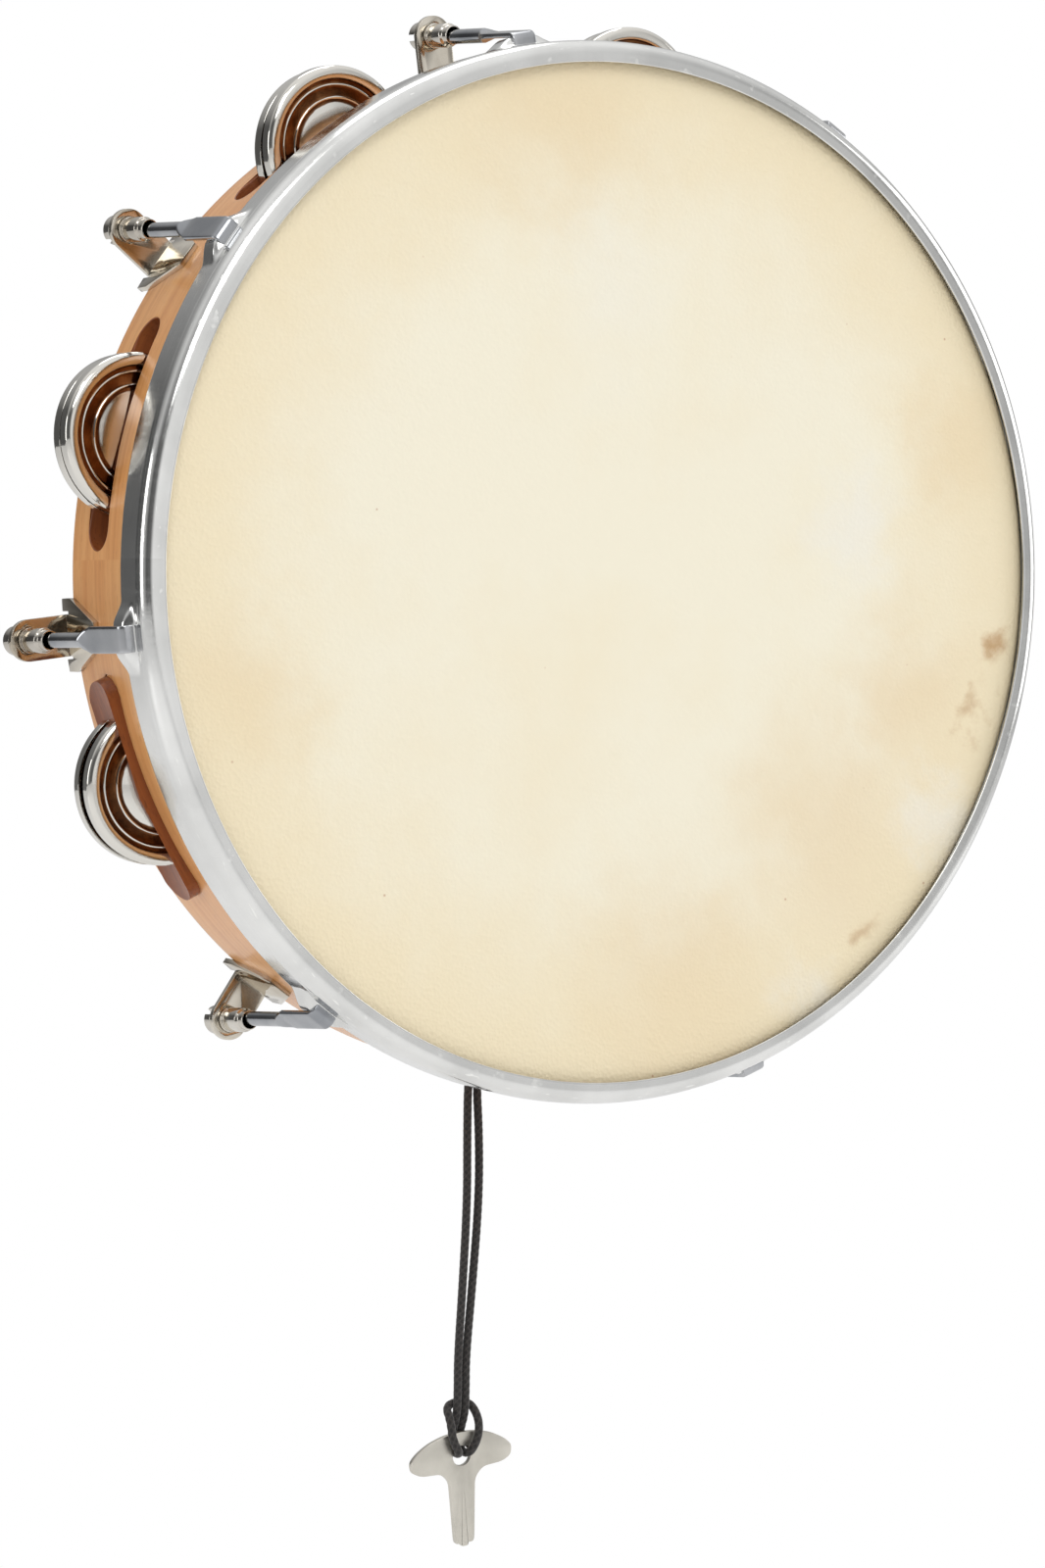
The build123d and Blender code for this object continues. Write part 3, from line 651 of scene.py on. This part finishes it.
def makeCord(material):
    line = splineThrough(cordSet["route"])
    mesh, path = braidTube("cord_braid", line)
    cord = place("cord_braid", mesh, "drum", "cord_black", material, nodes=["key_cord"])
    knotLow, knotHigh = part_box("cord_knot")
    centre = np.array((knotLow + knotHigh) / 2)
    radial = directionsAt(bearingOf(centre))[0]
    across = np.array([0.0, 1.0, 0.0])
    third = np.cross(radial, across)
    # Three-lobed knot: two turns round the middle while its radius and height swing three times.
    t = circle(400)
    reach = (2.05 + 0.95 * np.cos(3 * t)) * mm
    loop = centre + (reach * np.cos(2 * t))[:, None] * across + (reach * np.sin(2 * t))[:, None] * third \
        + (1.35 * mm * np.sin(3 * t))[:, None] * radial
    knotMesh = braidTube("stopper_knot", loop)[0]
    knot = place("stopper_knot", knotMesh, "drum", "cord_black", material, nodes=["cord_knot"])


def drumPoints(profile, bearings):
    # Surface of revolution: each (radius, depth) of the profile at every bearing.
    return atBearing(bearings[None, :], profile[:, 0][:, None] * mm, profile[:, 1][:, None] * mm)


hoop = {
    "inner": 125.0, "flat": 127.2, "corner": 3.4, "band": 130.6, "skirt": 130.7, "stepFrom": 3.6, "stepTo": 4.6,
    "end": 12.6, "sheet": 1.0, "slitFrom": 5.9, "slitTo": 7.8, "slitHalf": 6.5, "bridgeFlat": 3.3,
    "bridgeHalf": 8.5, "bridgeRise": 2.4, "lip": 0.25,
    # columns of the mesh stand close up to this far from a hook, and even from there
    "closeHalf": 10.0, "evenFrom": 10.8,
}


def hoopBearings(hookBearings):
    # Even bearings round the hoop, with closer ones over each bridge.
    even = np.radians(np.arange(0.0, 360.0, 1.5))
    near = np.arange(-hoop["closeHalf"], hoop["closeHalf"] + 0.01, 0.5) / hoop["skirt"]
    extra = np.concatenate([near + b for b in hookBearings]) % fullTurn
    gap = nearestGap(even, hookBearings)
    kept = np.sort(np.concatenate([even[gap > hoop["evenFrom"] / hoop["skirt"]], extra]))
    return np.append(kept, kept[0] + fullTurn)


def makeHoop(material, hookBearings):
    # Outer face of the pressed sheet as a profile turned round the axis. Behind each slit the skirt is
    # pushed outwards by a flat-topped ramp of the distance from the hook, and the slit's cells are left out.
    h = hoop
    corner = arcRows((h["band"] - h["corner"], h["corner"]), h["corner"], -90, 0, 9)
    fall = np.linspace(0.0, 1.0, 7)
    step = np.stack([h["band"] + (h["skirt"] - h["band"]) * eased(fall),
                     h["stepFrom"] + (h["stepTo"] - h["stepFrom"]) * fall], axis=1)
    lip = arcRows((h["inner"] + h["lip"], h["lip"]), h["lip"], 180, 270, 5)
    flange = np.stack([np.linspace(h["inner"] + h["lip"] + 0.3, h["flat"] - 0.3, 5), np.zeros(5)], axis=1)
    skirtDepths = np.array([4.9, 5.4, h["slitFrom"], 6.3, 6.8, 7.3, h["slitTo"], 8.3, 9.0, 9.9, 10.8, 11.7,
                            12.3, h["end"]])
    skirt = np.stack([np.full(len(skirtDepths), h["skirt"]), skirtDepths], axis=1)
    profile = np.concatenate([lip, flange, corner, step, skirt])
    bearings = hoopBearings(hookBearings)
    t = nearestGap(bearings, hookBearings) * h["skirt"]
    ramp = np.clip((h["bridgeHalf"] - t) / (h["bridgeHalf"] - h["bridgeFlat"]), 0.0, 1.0)
    ramp = eased(ramp) * 0.5 + ramp * 0.5
    rise = np.clip((profile[:, 1] - h["slitFrom"]) / (h["slitTo"] - h["slitFrom"]), 0.0, 1.0)
    radius = profile[:, 0][:, None] + h["bridgeRise"] * ramp[None, :] * eased(rise)[:, None]
    grid = atBearing(bearings[None, :], radius * mm, profile[:, 1][:, None] * mm)
    middleDepth = (profile[:-1, 1] + profile[1:, 1]) / 2
    middleT = np.maximum(t[:-1], t[1:])
    inSlit = (middleDepth > h["slitFrom"]) & (middleDepth < h["slitTo"]) & (profile[:-1, 0] > h["band"] + 0.1)
    keep = ~(inSlit[:, None] & (middleT <= h["slitHalf"] + 0.01)[None, :])
    mesh = weld(gridMesh("hoop_plated", grid, keep=keep, inward=True), outwards=False)
    piece = place("hoop_plated", mesh, "counterhoop", "hoop_chrome", material, nodes=["counterhoop"])
    wall = piece.modifiers.new("wall", "SOLIDIFY")
    wall.thickness = h["sheet"] * mm
    wall.offset = -1
    edges = piece.modifiers.new("edges", "BEVEL")
    edges.width = 0.14 * mm
    edges.segments = 2
    edges.limit_method = "ANGLE"
    edges.angle_limit = math.radians(50)
    smooth(applied(piece), 45)
    return piece


head = {"front": 2.6, "thick": 0.4, "outer": 127.45, "corner": 2.4, "end": 9.5, "slack": 0.05}


def makeHead(material):
    # Closed profile of the skin: front face, rounded edge, skirt, and the same way back inside. The face
    # stands off flat by a small sum of sine waves, as a stretched hide does.
    h = head
    inner = h["corner"] - h["thick"]
    centre = (h["outer"] - h["corner"], h["front"] + h["corner"])
    faceRadii = np.concatenate([[0.0], np.linspace(2, centre[0], 46)])
    faceOut = np.stack([faceRadii, np.full(len(faceRadii), h["front"])], axis=1)
    edgeOut = arcRows(centre, h["corner"], -90, 0, 9)[1:]
    skirtOut = np.array([[h["outer"], 7.0], [h["outer"], h["end"]], [h["outer"] - h["thick"], h["end"]],
                         [h["outer"] - h["thick"], 7.0]])
    edgeIn = arcRows(centre, inner, 0, -90, 9)
    faceIn = faceOut[::-1][1:] + [0.0, h["thick"]]
    profile = np.concatenate([faceOut, edgeOut, skirtOut, edgeIn, faceIn])
    bearings = circle(193)
    grid = drumPoints(profile, bearings)
    x = (grid[..., 0] - drum["x"]) / mm
    z = (grid[..., 2] - drum["z"]) / mm
    away = np.hypot(x, z)
    wave = np.sin(x / 23 + 0.8) * np.sin(z / 31) + 0.6 * np.sin((x + z) / 13 + 2) * np.sin((x - z) / 17)
    fade = np.clip((120.0 - away) / 30.0, 0.0, 1.0)
    grid[..., 1] += h["slack"] * mm * wave * fade
    mesh = smooth(weld(gridMesh("head_skin", grid)), 50)
    piece = place("head_skin", mesh, "drum", "skin", material, nodes=["drum_head"])
    # The flat sheet reaches from the middle over the edge to the end of the skirt; a rounded corner is 0.43 of
    # its radius shorter than a square one.
    return piece


shell = {"outer": 127.0, "wall": 10.0, "round": 2.0, "innerRound": 1.0, "backRound": 1.8,
         "slotDepth": 34.0, "slotHalfWidth": 5.2, "slotHalfLength": 28.5, "slotRound": 0.3,
         "cordHole": 2.75, "cordDepth": 40.0, "pinHole": 0.92, "pinRadius": 122.0}


def slotCutter(bearing, halfLength, halfWidth, depth, rounding, material):
    # Stadium outline carried out through the wall. Its size grows near both faces of the wall as a quarter
    # circle does, so the cut leaves rounded edges.
    inner = shell["outer"] - shell["wall"]
    outer = shell["outer"]
    bulge = np.linspace(0.0, 1.0, 6)
    grow = rounding * (1 - np.sqrt(1 - bulge ** 2))
    heights = np.concatenate([[inner - 3.0], (inner + rounding * (1 - bulge[::-1])),
                              (outer - rounding * (1 - bulge)), [outer + 3.0]])
    growth = np.concatenate([[rounding], grow[::-1], grow, [rounding]])
    angle = circle(65)
    straight = (halfLength - halfWidth) * np.sign(np.cos(angle)) * (np.abs(np.cos(angle)) > 1e-9)
    t = straight[None, :] + (halfWidth + growth[:, None]) * np.cos(angle)[None, :]
    d = depth + (halfWidth + growth[:, None]) * np.sin(angle)[None, :]
    reach = np.sqrt(np.maximum(heights[:, None] ** 2, t ** 2 + 1) - t ** 2)
    radial, along = directionsAt(bearing)
    grid = drumMiddle + (reach[..., None] * radial + t[..., None] * along) * mm
    grid[..., 1] += d * mm
    mesh = weld(gridMesh("slotCutter", np.concatenate([middles(grid[:1]), grid, middles(grid[-1:])])))
    return tool("slotCutter", mesh, material)


def makeShell(material, sawn, jingleBearings, gripBearing):
    # Profile of the bent board, with rounded corners, turned round the axis, then cut through.
    s = shell
    front, back = drum["shellFront"] / mm, drum["shellBack"] / mm
    inner = s["outer"] - s["wall"]
    rows = np.linspace(0.0, 1.0, 26)[1:-1]
    outsideDepths = front + s["round"] + (back - front - s["round"] - s["backRound"]) * rows
    insideDepths = back - s["backRound"] - (back - front - s["innerRound"] - s["backRound"]) * rows
    outside = np.stack([np.full(len(rows), s["outer"]), outsideDepths], axis=1)
    inside = np.stack([np.full(len(rows), inner), insideDepths], axis=1)
    profile = np.concatenate([
        arcRows((s["outer"] - s["round"], front + s["round"]), s["round"], -90, 0, 7), outside,
        arcRows((s["outer"] - s["backRound"], back - s["backRound"]), s["backRound"], 0, 90, 7),
        arcRows((inner + s["backRound"], back - s["backRound"]), s["backRound"], 90, 180, 7), inside,
        arcRows((inner + s["innerRound"], front + s["innerRound"]), s["innerRound"], 180, 270, 5)])
    profile = np.concatenate([profile, profile[:1]])
    grid = drumPoints(profile, circle(361))
    mesh = weld(gridMesh("shell_wood", grid))
    piece = place("shell_wood", mesh, "drum", "wood", material, sawn, nodes=["wood_shell"])
    cutters = [slotCutter(b, s["slotHalfLength"], s["slotHalfWidth"], s["slotDepth"], s["slotRound"], sawn)
               for b in jingleBearings]
    cutters.append(slotCutter(gripBearing, s["cordHole"] + 0.01, s["cordHole"], s["cordDepth"], 0.3, sawn))
    for b in jingleBearings:
        turn = circle(25)
        depths = np.array([back - 1.2, back - 1.2, back + 2, back + 2])
        sizes = np.array([0.0, s["pinHole"], s["pinHole"], 0.0])
        middle = atBearing(b, s["pinRadius"] * mm, depths[:, None] * mm)
        ring = np.stack([np.cos(turn), np.zeros_like(turn), np.sin(turn)], axis=1)
        bore = middle + sizes[:, None, None] * mm * ring[None]
        cutters.append(tool("pinBore", weld(gridMesh("pinBore", bore)), sawn))
    cutAway(piece, cutters)
    smooth(piece.data, 32)
    return piece


jingle = {
    "radius": 19.5, "sheet": 0.7, "hole": 1.3, "rimLow": 0.9, "rimHigh": 3.7, "ringHeight": 4.6,
    "troughHeight": 3.6, "domeHeight": 4.6, "domeRadius": 10.8, "stepRadius": 16.2, "beads": (11.9, 15.0),
    "dent": 0.05,
}


def jingleProfile(beadHeight=0.28):
    # Outside of the pressed cup from the hole to the rim: low dome, trough with two fine beads, step, ring
    # and a deep rim wall. Each bead is a narrow bell curve of the distance from its radius.
    j = jingle
    r = np.linspace(j["hole"], j["domeRadius"], 18)
    share = (r - j["hole"]) / (j["domeRadius"] - j["hole"])
    dome = np.stack([r, j["troughHeight"] + (j["domeHeight"] - j["troughHeight"]) * (1 - share ** 2.2) ** 0.85],
                    axis=1)
    r = np.linspace(j["domeRadius"] + 0.2, j["stepRadius"], 34)
    dip = np.sin((r - j["domeRadius"]) / (j["stepRadius"] - j["domeRadius"]) * math.pi)
    beads = sum(np.exp(-((r - middle) / 0.28) ** 2) for middle in j["beads"])
    trough = np.stack([r, j["troughHeight"] - 0.25 * dip + beadHeight * beads], axis=1)
    step = np.array([[j["stepRadius"] + 0.12, j["troughHeight"] + 0.2],
                     [j["stepRadius"] + 0.26, j["ringHeight"] - 0.42]])
    share = np.linspace(0.0, 1.0, 16)
    r = j["stepRadius"] + 0.42 + (j["radius"] - 0.03 - j["stepRadius"] - 0.42) * share
    ring = np.stack([r, j["ringHeight"] - 0.28 * (1 - np.clip(share / 0.4, 0, 1)) ** 2
                     - (j["ringHeight"] - j["rimHigh"]) * np.clip((share - 0.5) / 0.5, 0, 1) ** 2.2], axis=1)
    rim = np.stack([np.full(6, j["radius"]), np.linspace(j["rimHigh"] - 0.25, j["rimLow"] + 0.1, 6)], axis=1)
    return np.concatenate([dome, trough, step, ring, rim])


def makeJingle(k, word, material):
    # The profile turned round its own leaning axis, closed by the same profile a sheet's thickness inside it.
    # Its joint goes through the middle of its hole.
    name = "jingle_%d_%s" % (k, word)
    side = -1 if word == "front" else 1
    eye, axis = jointOf(name)
    across = directionsAt(bearingOf(eye))[1]
    outwards = np.cross(axis, across)
    base = eye - side * (jingle["domeHeight"] - jingle["sheet"] / 2) * mm * axis
    outside = jingleProfile()
    inside = jingleProfile(beadHeight=0.0)
    past = np.maximum(inside[:, 0] - jingle["stepRadius"], 0.0)
    inside[:, 0] -= past * jingle["sheet"] / (jingle["radius"] - jingle["stepRadius"])
    inside[:, 1] -= jingle["sheet"]
    inside[-6:, 1] = np.linspace(jingle["rimHigh"] - 0.25 - jingle["sheet"], jingle["rimLow"] + 0.1, 6)
    lip = np.array([[jingle["radius"] - 0.12, jingle["rimLow"]], [jingle["radius"] - 0.58, jingle["rimLow"]]])
    profile = np.concatenate([outside, lip, inside[::-1], outside[:1]])
    radii = profile[:, 0]
    turn = circle(97)
    phase = rng.uniform(0, fullTurn, 4)
    hammered = sum(np.sin(n * turn[None, :] + phase[i] + radii[:, None] * (0.35 + 0.1 * i))
                   for i, n in enumerate((2, 3, 5, 7)))
    height = profile[:, 1][:, None] - jingle["dent"] * (1 + hammered / 4) \
        * (radii[:, None] / jingle["radius"]) ** 2 * (profile[:, 1] > 1.5)[:, None]
    ring = np.cos(turn)[:, None] * outwards + np.sin(turn)[:, None] * across
    grid = base + radii[:, None, None] * mm * ring[None] + side * height[..., None] * mm * axis
    inTrough = np.clip((radii - jingle["domeRadius"] + 0.3) / 0.5, 0, 1) \
        * np.clip((jingle["stepRadius"] + 0.4 - radii) / 0.3, 0, 1)
    onBead = sum(np.exp(-((radii - middle) / 0.3) ** 2) for middle in jingle["beads"])
    isInside = np.arange(len(profile)) >= len(outside) + 2
    # 1 in the trough, where brown is painted as a reflection of the wooden shell; 0.45 on the cup's inside,
    # painted shade between the discs
    hollow = np.maximum(inTrough - onBead, isInside * 0.45)[:, None] * np.ones_like(turn)[None, :]
    turning = radii[:, None] * mm * np.ones_like(turn)[None, :]
    mesh = smooth(weld(gridMesh(name, grid, marks={"hollow": hollow, "turning": turning})), 38)
    return place(name + "_disc", mesh, name, "jingle_nickel", material, nodes=[name])


hookSet = {
    "tip": 130.15, "claw": 7.0, "mid": 133.85, "bend": 1.5, "stripHalf": 3.15, "halfSheet": 0.7, "rod": 1.8,
    "stripEnd": 15.0, "shoulder": 3.6, "square": 9.0, "around": 40,
}


def makeHook(k, material):
    # Superellipse section carried along a bent line: in along the radius as the claw, round the bend, back
    # along the strip, and on as the rod. Half-widths and squareness go from flat strip to round rod.
    node = "hook_%d" % k
    eye, axis = jointOf("tension_nut_%d" % k)
    flare = math.acos(axis[1])
    radial, across = directionsAt(bearingOf(eye))
    back = np.array([0.0, 1.0, 0.0])
    h = hookSet
    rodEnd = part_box(node)[1].y - drum["front"]
    corner = np.array([h["mid"] * mm, h["claw"] * mm])
    direction = np.array([math.sin(flare), math.cos(flare)])
    bend = h["bend"] * mm
    turnCentre = corner + np.array([-bend * (1 + math.sin(flare)) / math.cos(flare), bend])
    turn = np.linspace(-math.pi / 2, -flare, 9)
    arc = turnCentre + bend * np.stack([np.cos(turn), np.sin(turn)], axis=1)
    clawRun = np.linspace([h["tip"] * mm, corner[1]], arc[0], 4)[:-1]
    lengthLeft = (rodEnd - arc[-1, 1]) / direction[1] - 0.3 * mm
    along = np.concatenate([np.linspace(0.02, h["stripEnd"] - 2.5, 12),
                            np.linspace(h["stripEnd"] - 2.3, h["stripEnd"] + h["shoulder"] - 1.2, 14),
                            np.linspace(h["stripEnd"] + h["shoulder"] - 0.9, lengthLeft / mm, 14)]) * mm
    shank = arc[-1] + along[:, None] * direction
    line = np.concatenate([clawRun, arc, shank])
    run = np.concatenate([np.full(len(clawRun) + len(arc), -1.0), along / mm])
    narrow = np.clip((run - (h["stripEnd"] - 2.5)) / h["shoulder"], 0, 1)
    thicken = np.clip((run - (h["stripEnd"] - 1.5)) / (h["shoulder"] - 0.8), 0, 1)
    halfWide = h["stripHalf"] + (h["rod"] - h["stripHalf"]) * narrow
    halfThick = h["halfSheet"] + (h["rod"] - h["halfSheet"]) * thicken ** 1.3
    square = h["square"] + (2.0 - h["square"]) * thicken
    tangent = np.gradient(line, axis=0)
    tangent /= np.linalg.norm(tangent, axis=1)[:, None]
    outward = np.stack([tangent[:, 1], -tangent[:, 0]], axis=1)
    angle = circle(h["around"] + 1)
    cosine, sine = np.cos(angle), np.sin(angle)
    wide = np.sign(cosine)[None, :] * np.abs(cosine)[None, :] ** (2 / square[:, None]) * halfWide[:, None] * mm
    thick = np.sign(sine)[None, :] * np.abs(sine)[None, :] ** (2 / square[:, None]) * halfThick[:, None] * mm
    radius = line[:, 0][:, None] + thick * outward[:, 0][:, None]
    depth = line[:, 1][:, None] + thick * outward[:, 1][:, None]
    grid = drumMiddle + radius[..., None] * radial + depth[..., None] * back + wide[..., None] * across
    capLow, capHigh = middles(grid[:1]), middles(grid[-1:])
    nearLow = grid[:1] + (capLow - grid[:1]) * 0.12 - 0.12 * mm * radial
    nearHigh = grid[-1:] + (capHigh - grid[-1:]) * 0.12 + 0.15 * mm * axis
    grid = np.concatenate([capLow - 0.12 * mm * radial, nearLow, grid, nearHigh, capHigh + 0.15 * mm * axis])
    mesh = smooth(weld(gridMesh(node, grid)), 40)
    return place(node + "_plated", mesh, "counterhoop", "hook_chrome", material, nodes=[node])


nutSet = {
    "earHalf": 0.7, "play": 0.1, "head": 3.6, "headLength": 5.4, "neck": 2.7, "collar": 3.15,
    "collarLength": 1.0, "barrel": 3.0, "barrelLength": 6.2, "nose": 2.4, "noseLength": 2.4, "bore": 2.1,
    "slotWidth": 1.6, "slotDepth": 3.4, "break": 0.22,
}


def rounded(profile, size, steps=3):
    # Each corner of a (radius, place) outline replaced by a short curve: the two points at a small distance
    # before and after it, joined by a quadratic curve with the corner as its control point.
    made = [profile[0]]
    for before, corner, after in zip(profile, profile[1:], profile[2:]):
        reach = [min(size, 0.4 * np.linalg.norm(np.subtract(p, corner))) for p in (before, after)]
        a = np.add(corner, np.subtract(before, corner) / np.linalg.norm(np.subtract(before, corner)) * reach[0])
        b = np.add(corner, np.subtract(after, corner) / np.linalg.norm(np.subtract(after, corner)) * reach[1])
        for s in np.linspace(0.0, 1.0, steps + 1):
            made.append((1 - s) ** 2 * a + 2 * s * (1 - s) * np.array(corner) + s ** 2 * b)
    made.append(profile[-1])
    return np.array(made)


def makeNut(k, material):
    # Stepped profile turned round the hook's axis, hollow for the rod, with the driver slot cut in its head.
    node = "tension_nut_%d" % k
    n = nutSet
    eye, axis = jointOf(node)
    across = directionsAt(bearingOf(eye))[1]
    up = np.cross(across, axis)
    headFrom = n["earHalf"] + n["play"]
    headTo = headFrom + n["headLength"]
    collarTo = -headFrom
    collarFrom = collarTo - n["collarLength"]
    barrelFrom = collarFrom - n["barrelLength"]
    noseFrom = barrelFrom - n["noseLength"]
    outline = [(n["bore"], noseFrom), (n["nose"], noseFrom), (n["nose"], barrelFrom - 0.5),
               (n["barrel"], barrelFrom), (n["barrel"], collarFrom - 0.6),
               (n["barrel"] - 0.25, collarFrom - 0.6), (n["barrel"] - 0.25, collarFrom),
               (n["collar"], collarFrom), (n["collar"], collarTo),
               (n["neck"], collarTo), (n["neck"], headFrom), (n["head"], headFrom),
               (n["head"], headFrom + 1.5), (n["head"] - 0.3, headFrom + 1.7),
               (n["head"] - 0.3, headFrom + 2.1), (n["head"], headFrom + 2.3),
               (n["head"], headTo - 0.4), (n["head"] - 0.4, headTo),
               (n["bore"], headTo)]
    profile = rounded(outline, n["break"])
    profile = np.concatenate([profile, profile[:1]])
    turn = circle(49)
    ring = np.cos(turn)[:, None] * up + np.sin(turn)[:, None] * across
    grid = eye + profile[:, 1][:, None, None] * mm * axis + profile[:, 0][:, None, None] * mm * ring[None]
    mesh = weld(gridMesh(node, grid))
    piece = place(node + "_slotted", mesh, node, "nut_nickel", material, nodes=[node])
    halfSlot = n["slotWidth"] / 2 * mm
    floor = (headTo - n["slotDepth"]) * mm
    box = bmesh.new()
    corners = [eye + a * across * 6 * mm + b * up * halfSlot + c * axis
               for a in (-1, 1) for b in (-1, 1) for c in (floor, (headTo + 2) * mm)]
    for corner in corners:
        box.verts.new(corner)
    bmesh.ops.convex_hull(box, input=box.verts)
    cutter = bpy.data.meshes.new("slotBox")
    box.to_mesh(cutter)
    box.free()
    cutAway(piece, [tool("slotBox", cutter)])
    smooth(piece.data, 32)
    return piece


keyShape = {
    "sheet": 1.4, "hole": 2.6, "tilt": 4.0, "edge": 0.22, "cornerRound": 1.6,
    # right half of the outline from the hole's centre, in mm, from the top round to the blade
    "half": [(0, 6.2), (5, 5.75), (9.5, 4.4), (13, 2.4), (15, 0.4), (14.6, -2.2), (12, -3.5), (6.2, -3.8),
             (3.7, -6.3), (2.8, -22.8), (1, -22.8), (1, -23.6)],
}


def makeKey(material):
    # Half outline and its mirror image with rounded corners, joined to the hole by a flat face in front and
    # one behind.
    k = keyShape
    half = np.array(k["half"], dtype=float)
    outline = rounded(np.concatenate([half, (half * [-1, 1])[::-1]]), k["cornerRound"], 4)
    angle = np.arctan2(outline[:, 1], outline[:, 0])
    hole = k["hole"] * np.stack([np.cos(angle), np.sin(angle)], axis=1)
    eye = jointOf("tuning_key")[0]
    tilt = math.radians(k["tilt"])
    right = np.array([math.cos(tilt), 0.0, math.sin(tilt)])
    up = np.array([-math.sin(tilt), 0.0, math.cos(tilt)])
    back = np.array([0.0, k["sheet"] / 2, 0.0])
    rows = [eye + (edge[:, :1] * right + edge[:, 1:] * up + way * back) * mm
            for edge, way in ((hole, -1), (outline, -1), (outline, 1), (hole, 1), (hole, -1))]
    piece = place("tuning_key_finished", weld(gridMesh("tuning_key_finished", np.array(rows))), "tuning_key",
                  "key_steel", material, nodes=["tuning_key"])
    bevelled(piece, k["edge"] * mm)
    smooth(applied(piece), 35)
    return piece


# each plated metal: its name, colour, shade, roughness, and the scale and depth of its polishing noise
plated = {
    "hook": ("satin plated strip", "#BEBFC1", "#92959A", 0.14, 1400.0, 0.15),
    "bracket": ("nickel plated pressing", "#DDD7CB", "#BAB0A0", 0.12, 700.0, 0.2),
    "nut": ("nickel plated turning", "#D9D5CD", "#B4ADA3", 0.12, 1100.0, 0.12),
    "zinc": ("zinc plated fastener", "#C2C3C4", "#A0A2A5", 0.3, 1500.0, 0.2),
    "wire": ("drawn steel wire", "#B7B6B3", "#8E8D8A", 0.28, 1800.0, 0.15),
}
hoopMaterial = hoopPlate()
steel = {key: platedSteel(*settings) for key, settings in plated.items()}
jingleMaterial = jingleMetal()
boardMaterial = lacqueredWood("lacquered bent beech", ("#C0763A", "#DD9A5A", "#EDB678", "#D48F50", "#8E4F26"),
                              0.55)
sawnMaterial = lacqueredWood("stained sawn beech", ("#5A2A12", "#84431C", "#A35C2A", "#6E3717", "#37180A"), 0.3)
skinMaterial = calfSkin()
cordMaterial = braidedCord()
keyMaterial = satinKeySteel()
print("materials made")

makeKey(keyMaterial)
makeCord(cordMaterial)
print("cord, knot and key made")

hookBearings = sorted(bearingOf(jointOf("tension_nut_%d" % k)[0]) % fullTurn
                      for k in range(1, hookCount + 1))
jingleBearings = [bearingOf(jointOf("jingle_%d_front" % k)[0]) for k in range(1, jingleCount + 1)]
gripBearing = bearingOf((0.0, 0.0, 0.0))
makeShell(boardMaterial, sawnMaterial, jingleBearings, gripBearing)
print("shell made")
makeHead(skinMaterial)
makeHoop(hoopMaterial, hookBearings)
print("head and hoop made")
for k in range(1, hookCount + 1):
    makeHook(k, steel["hook"])
    makeNut(k, steel["nut"])
    finishedCopy("bracket_%d" % k, "bracket_nickel", steel["bracket"], 0.18 * mm)
print("hooks, nuts and brackets made")
for k in range(1, jingleCount + 1):
    for word in ("front", "rear"):
        makeJingle(k, word, jingleMaterial)
finishedCopy("jingle_pins", "pin_steel", steel["wire"], 0.15 * mm)
finishedCopy("stud_washers", "fastener_steel", steel["zinc"], 0.1 * mm)
finishedCopy("stud_nuts", "fastener_steel", steel["zinc"], 0.2 * mm)
finishedCopy("flesh_hoop", "hoop_wire", steel["wire"], 0.05 * mm)
print("jingles, pins and fasteners made")
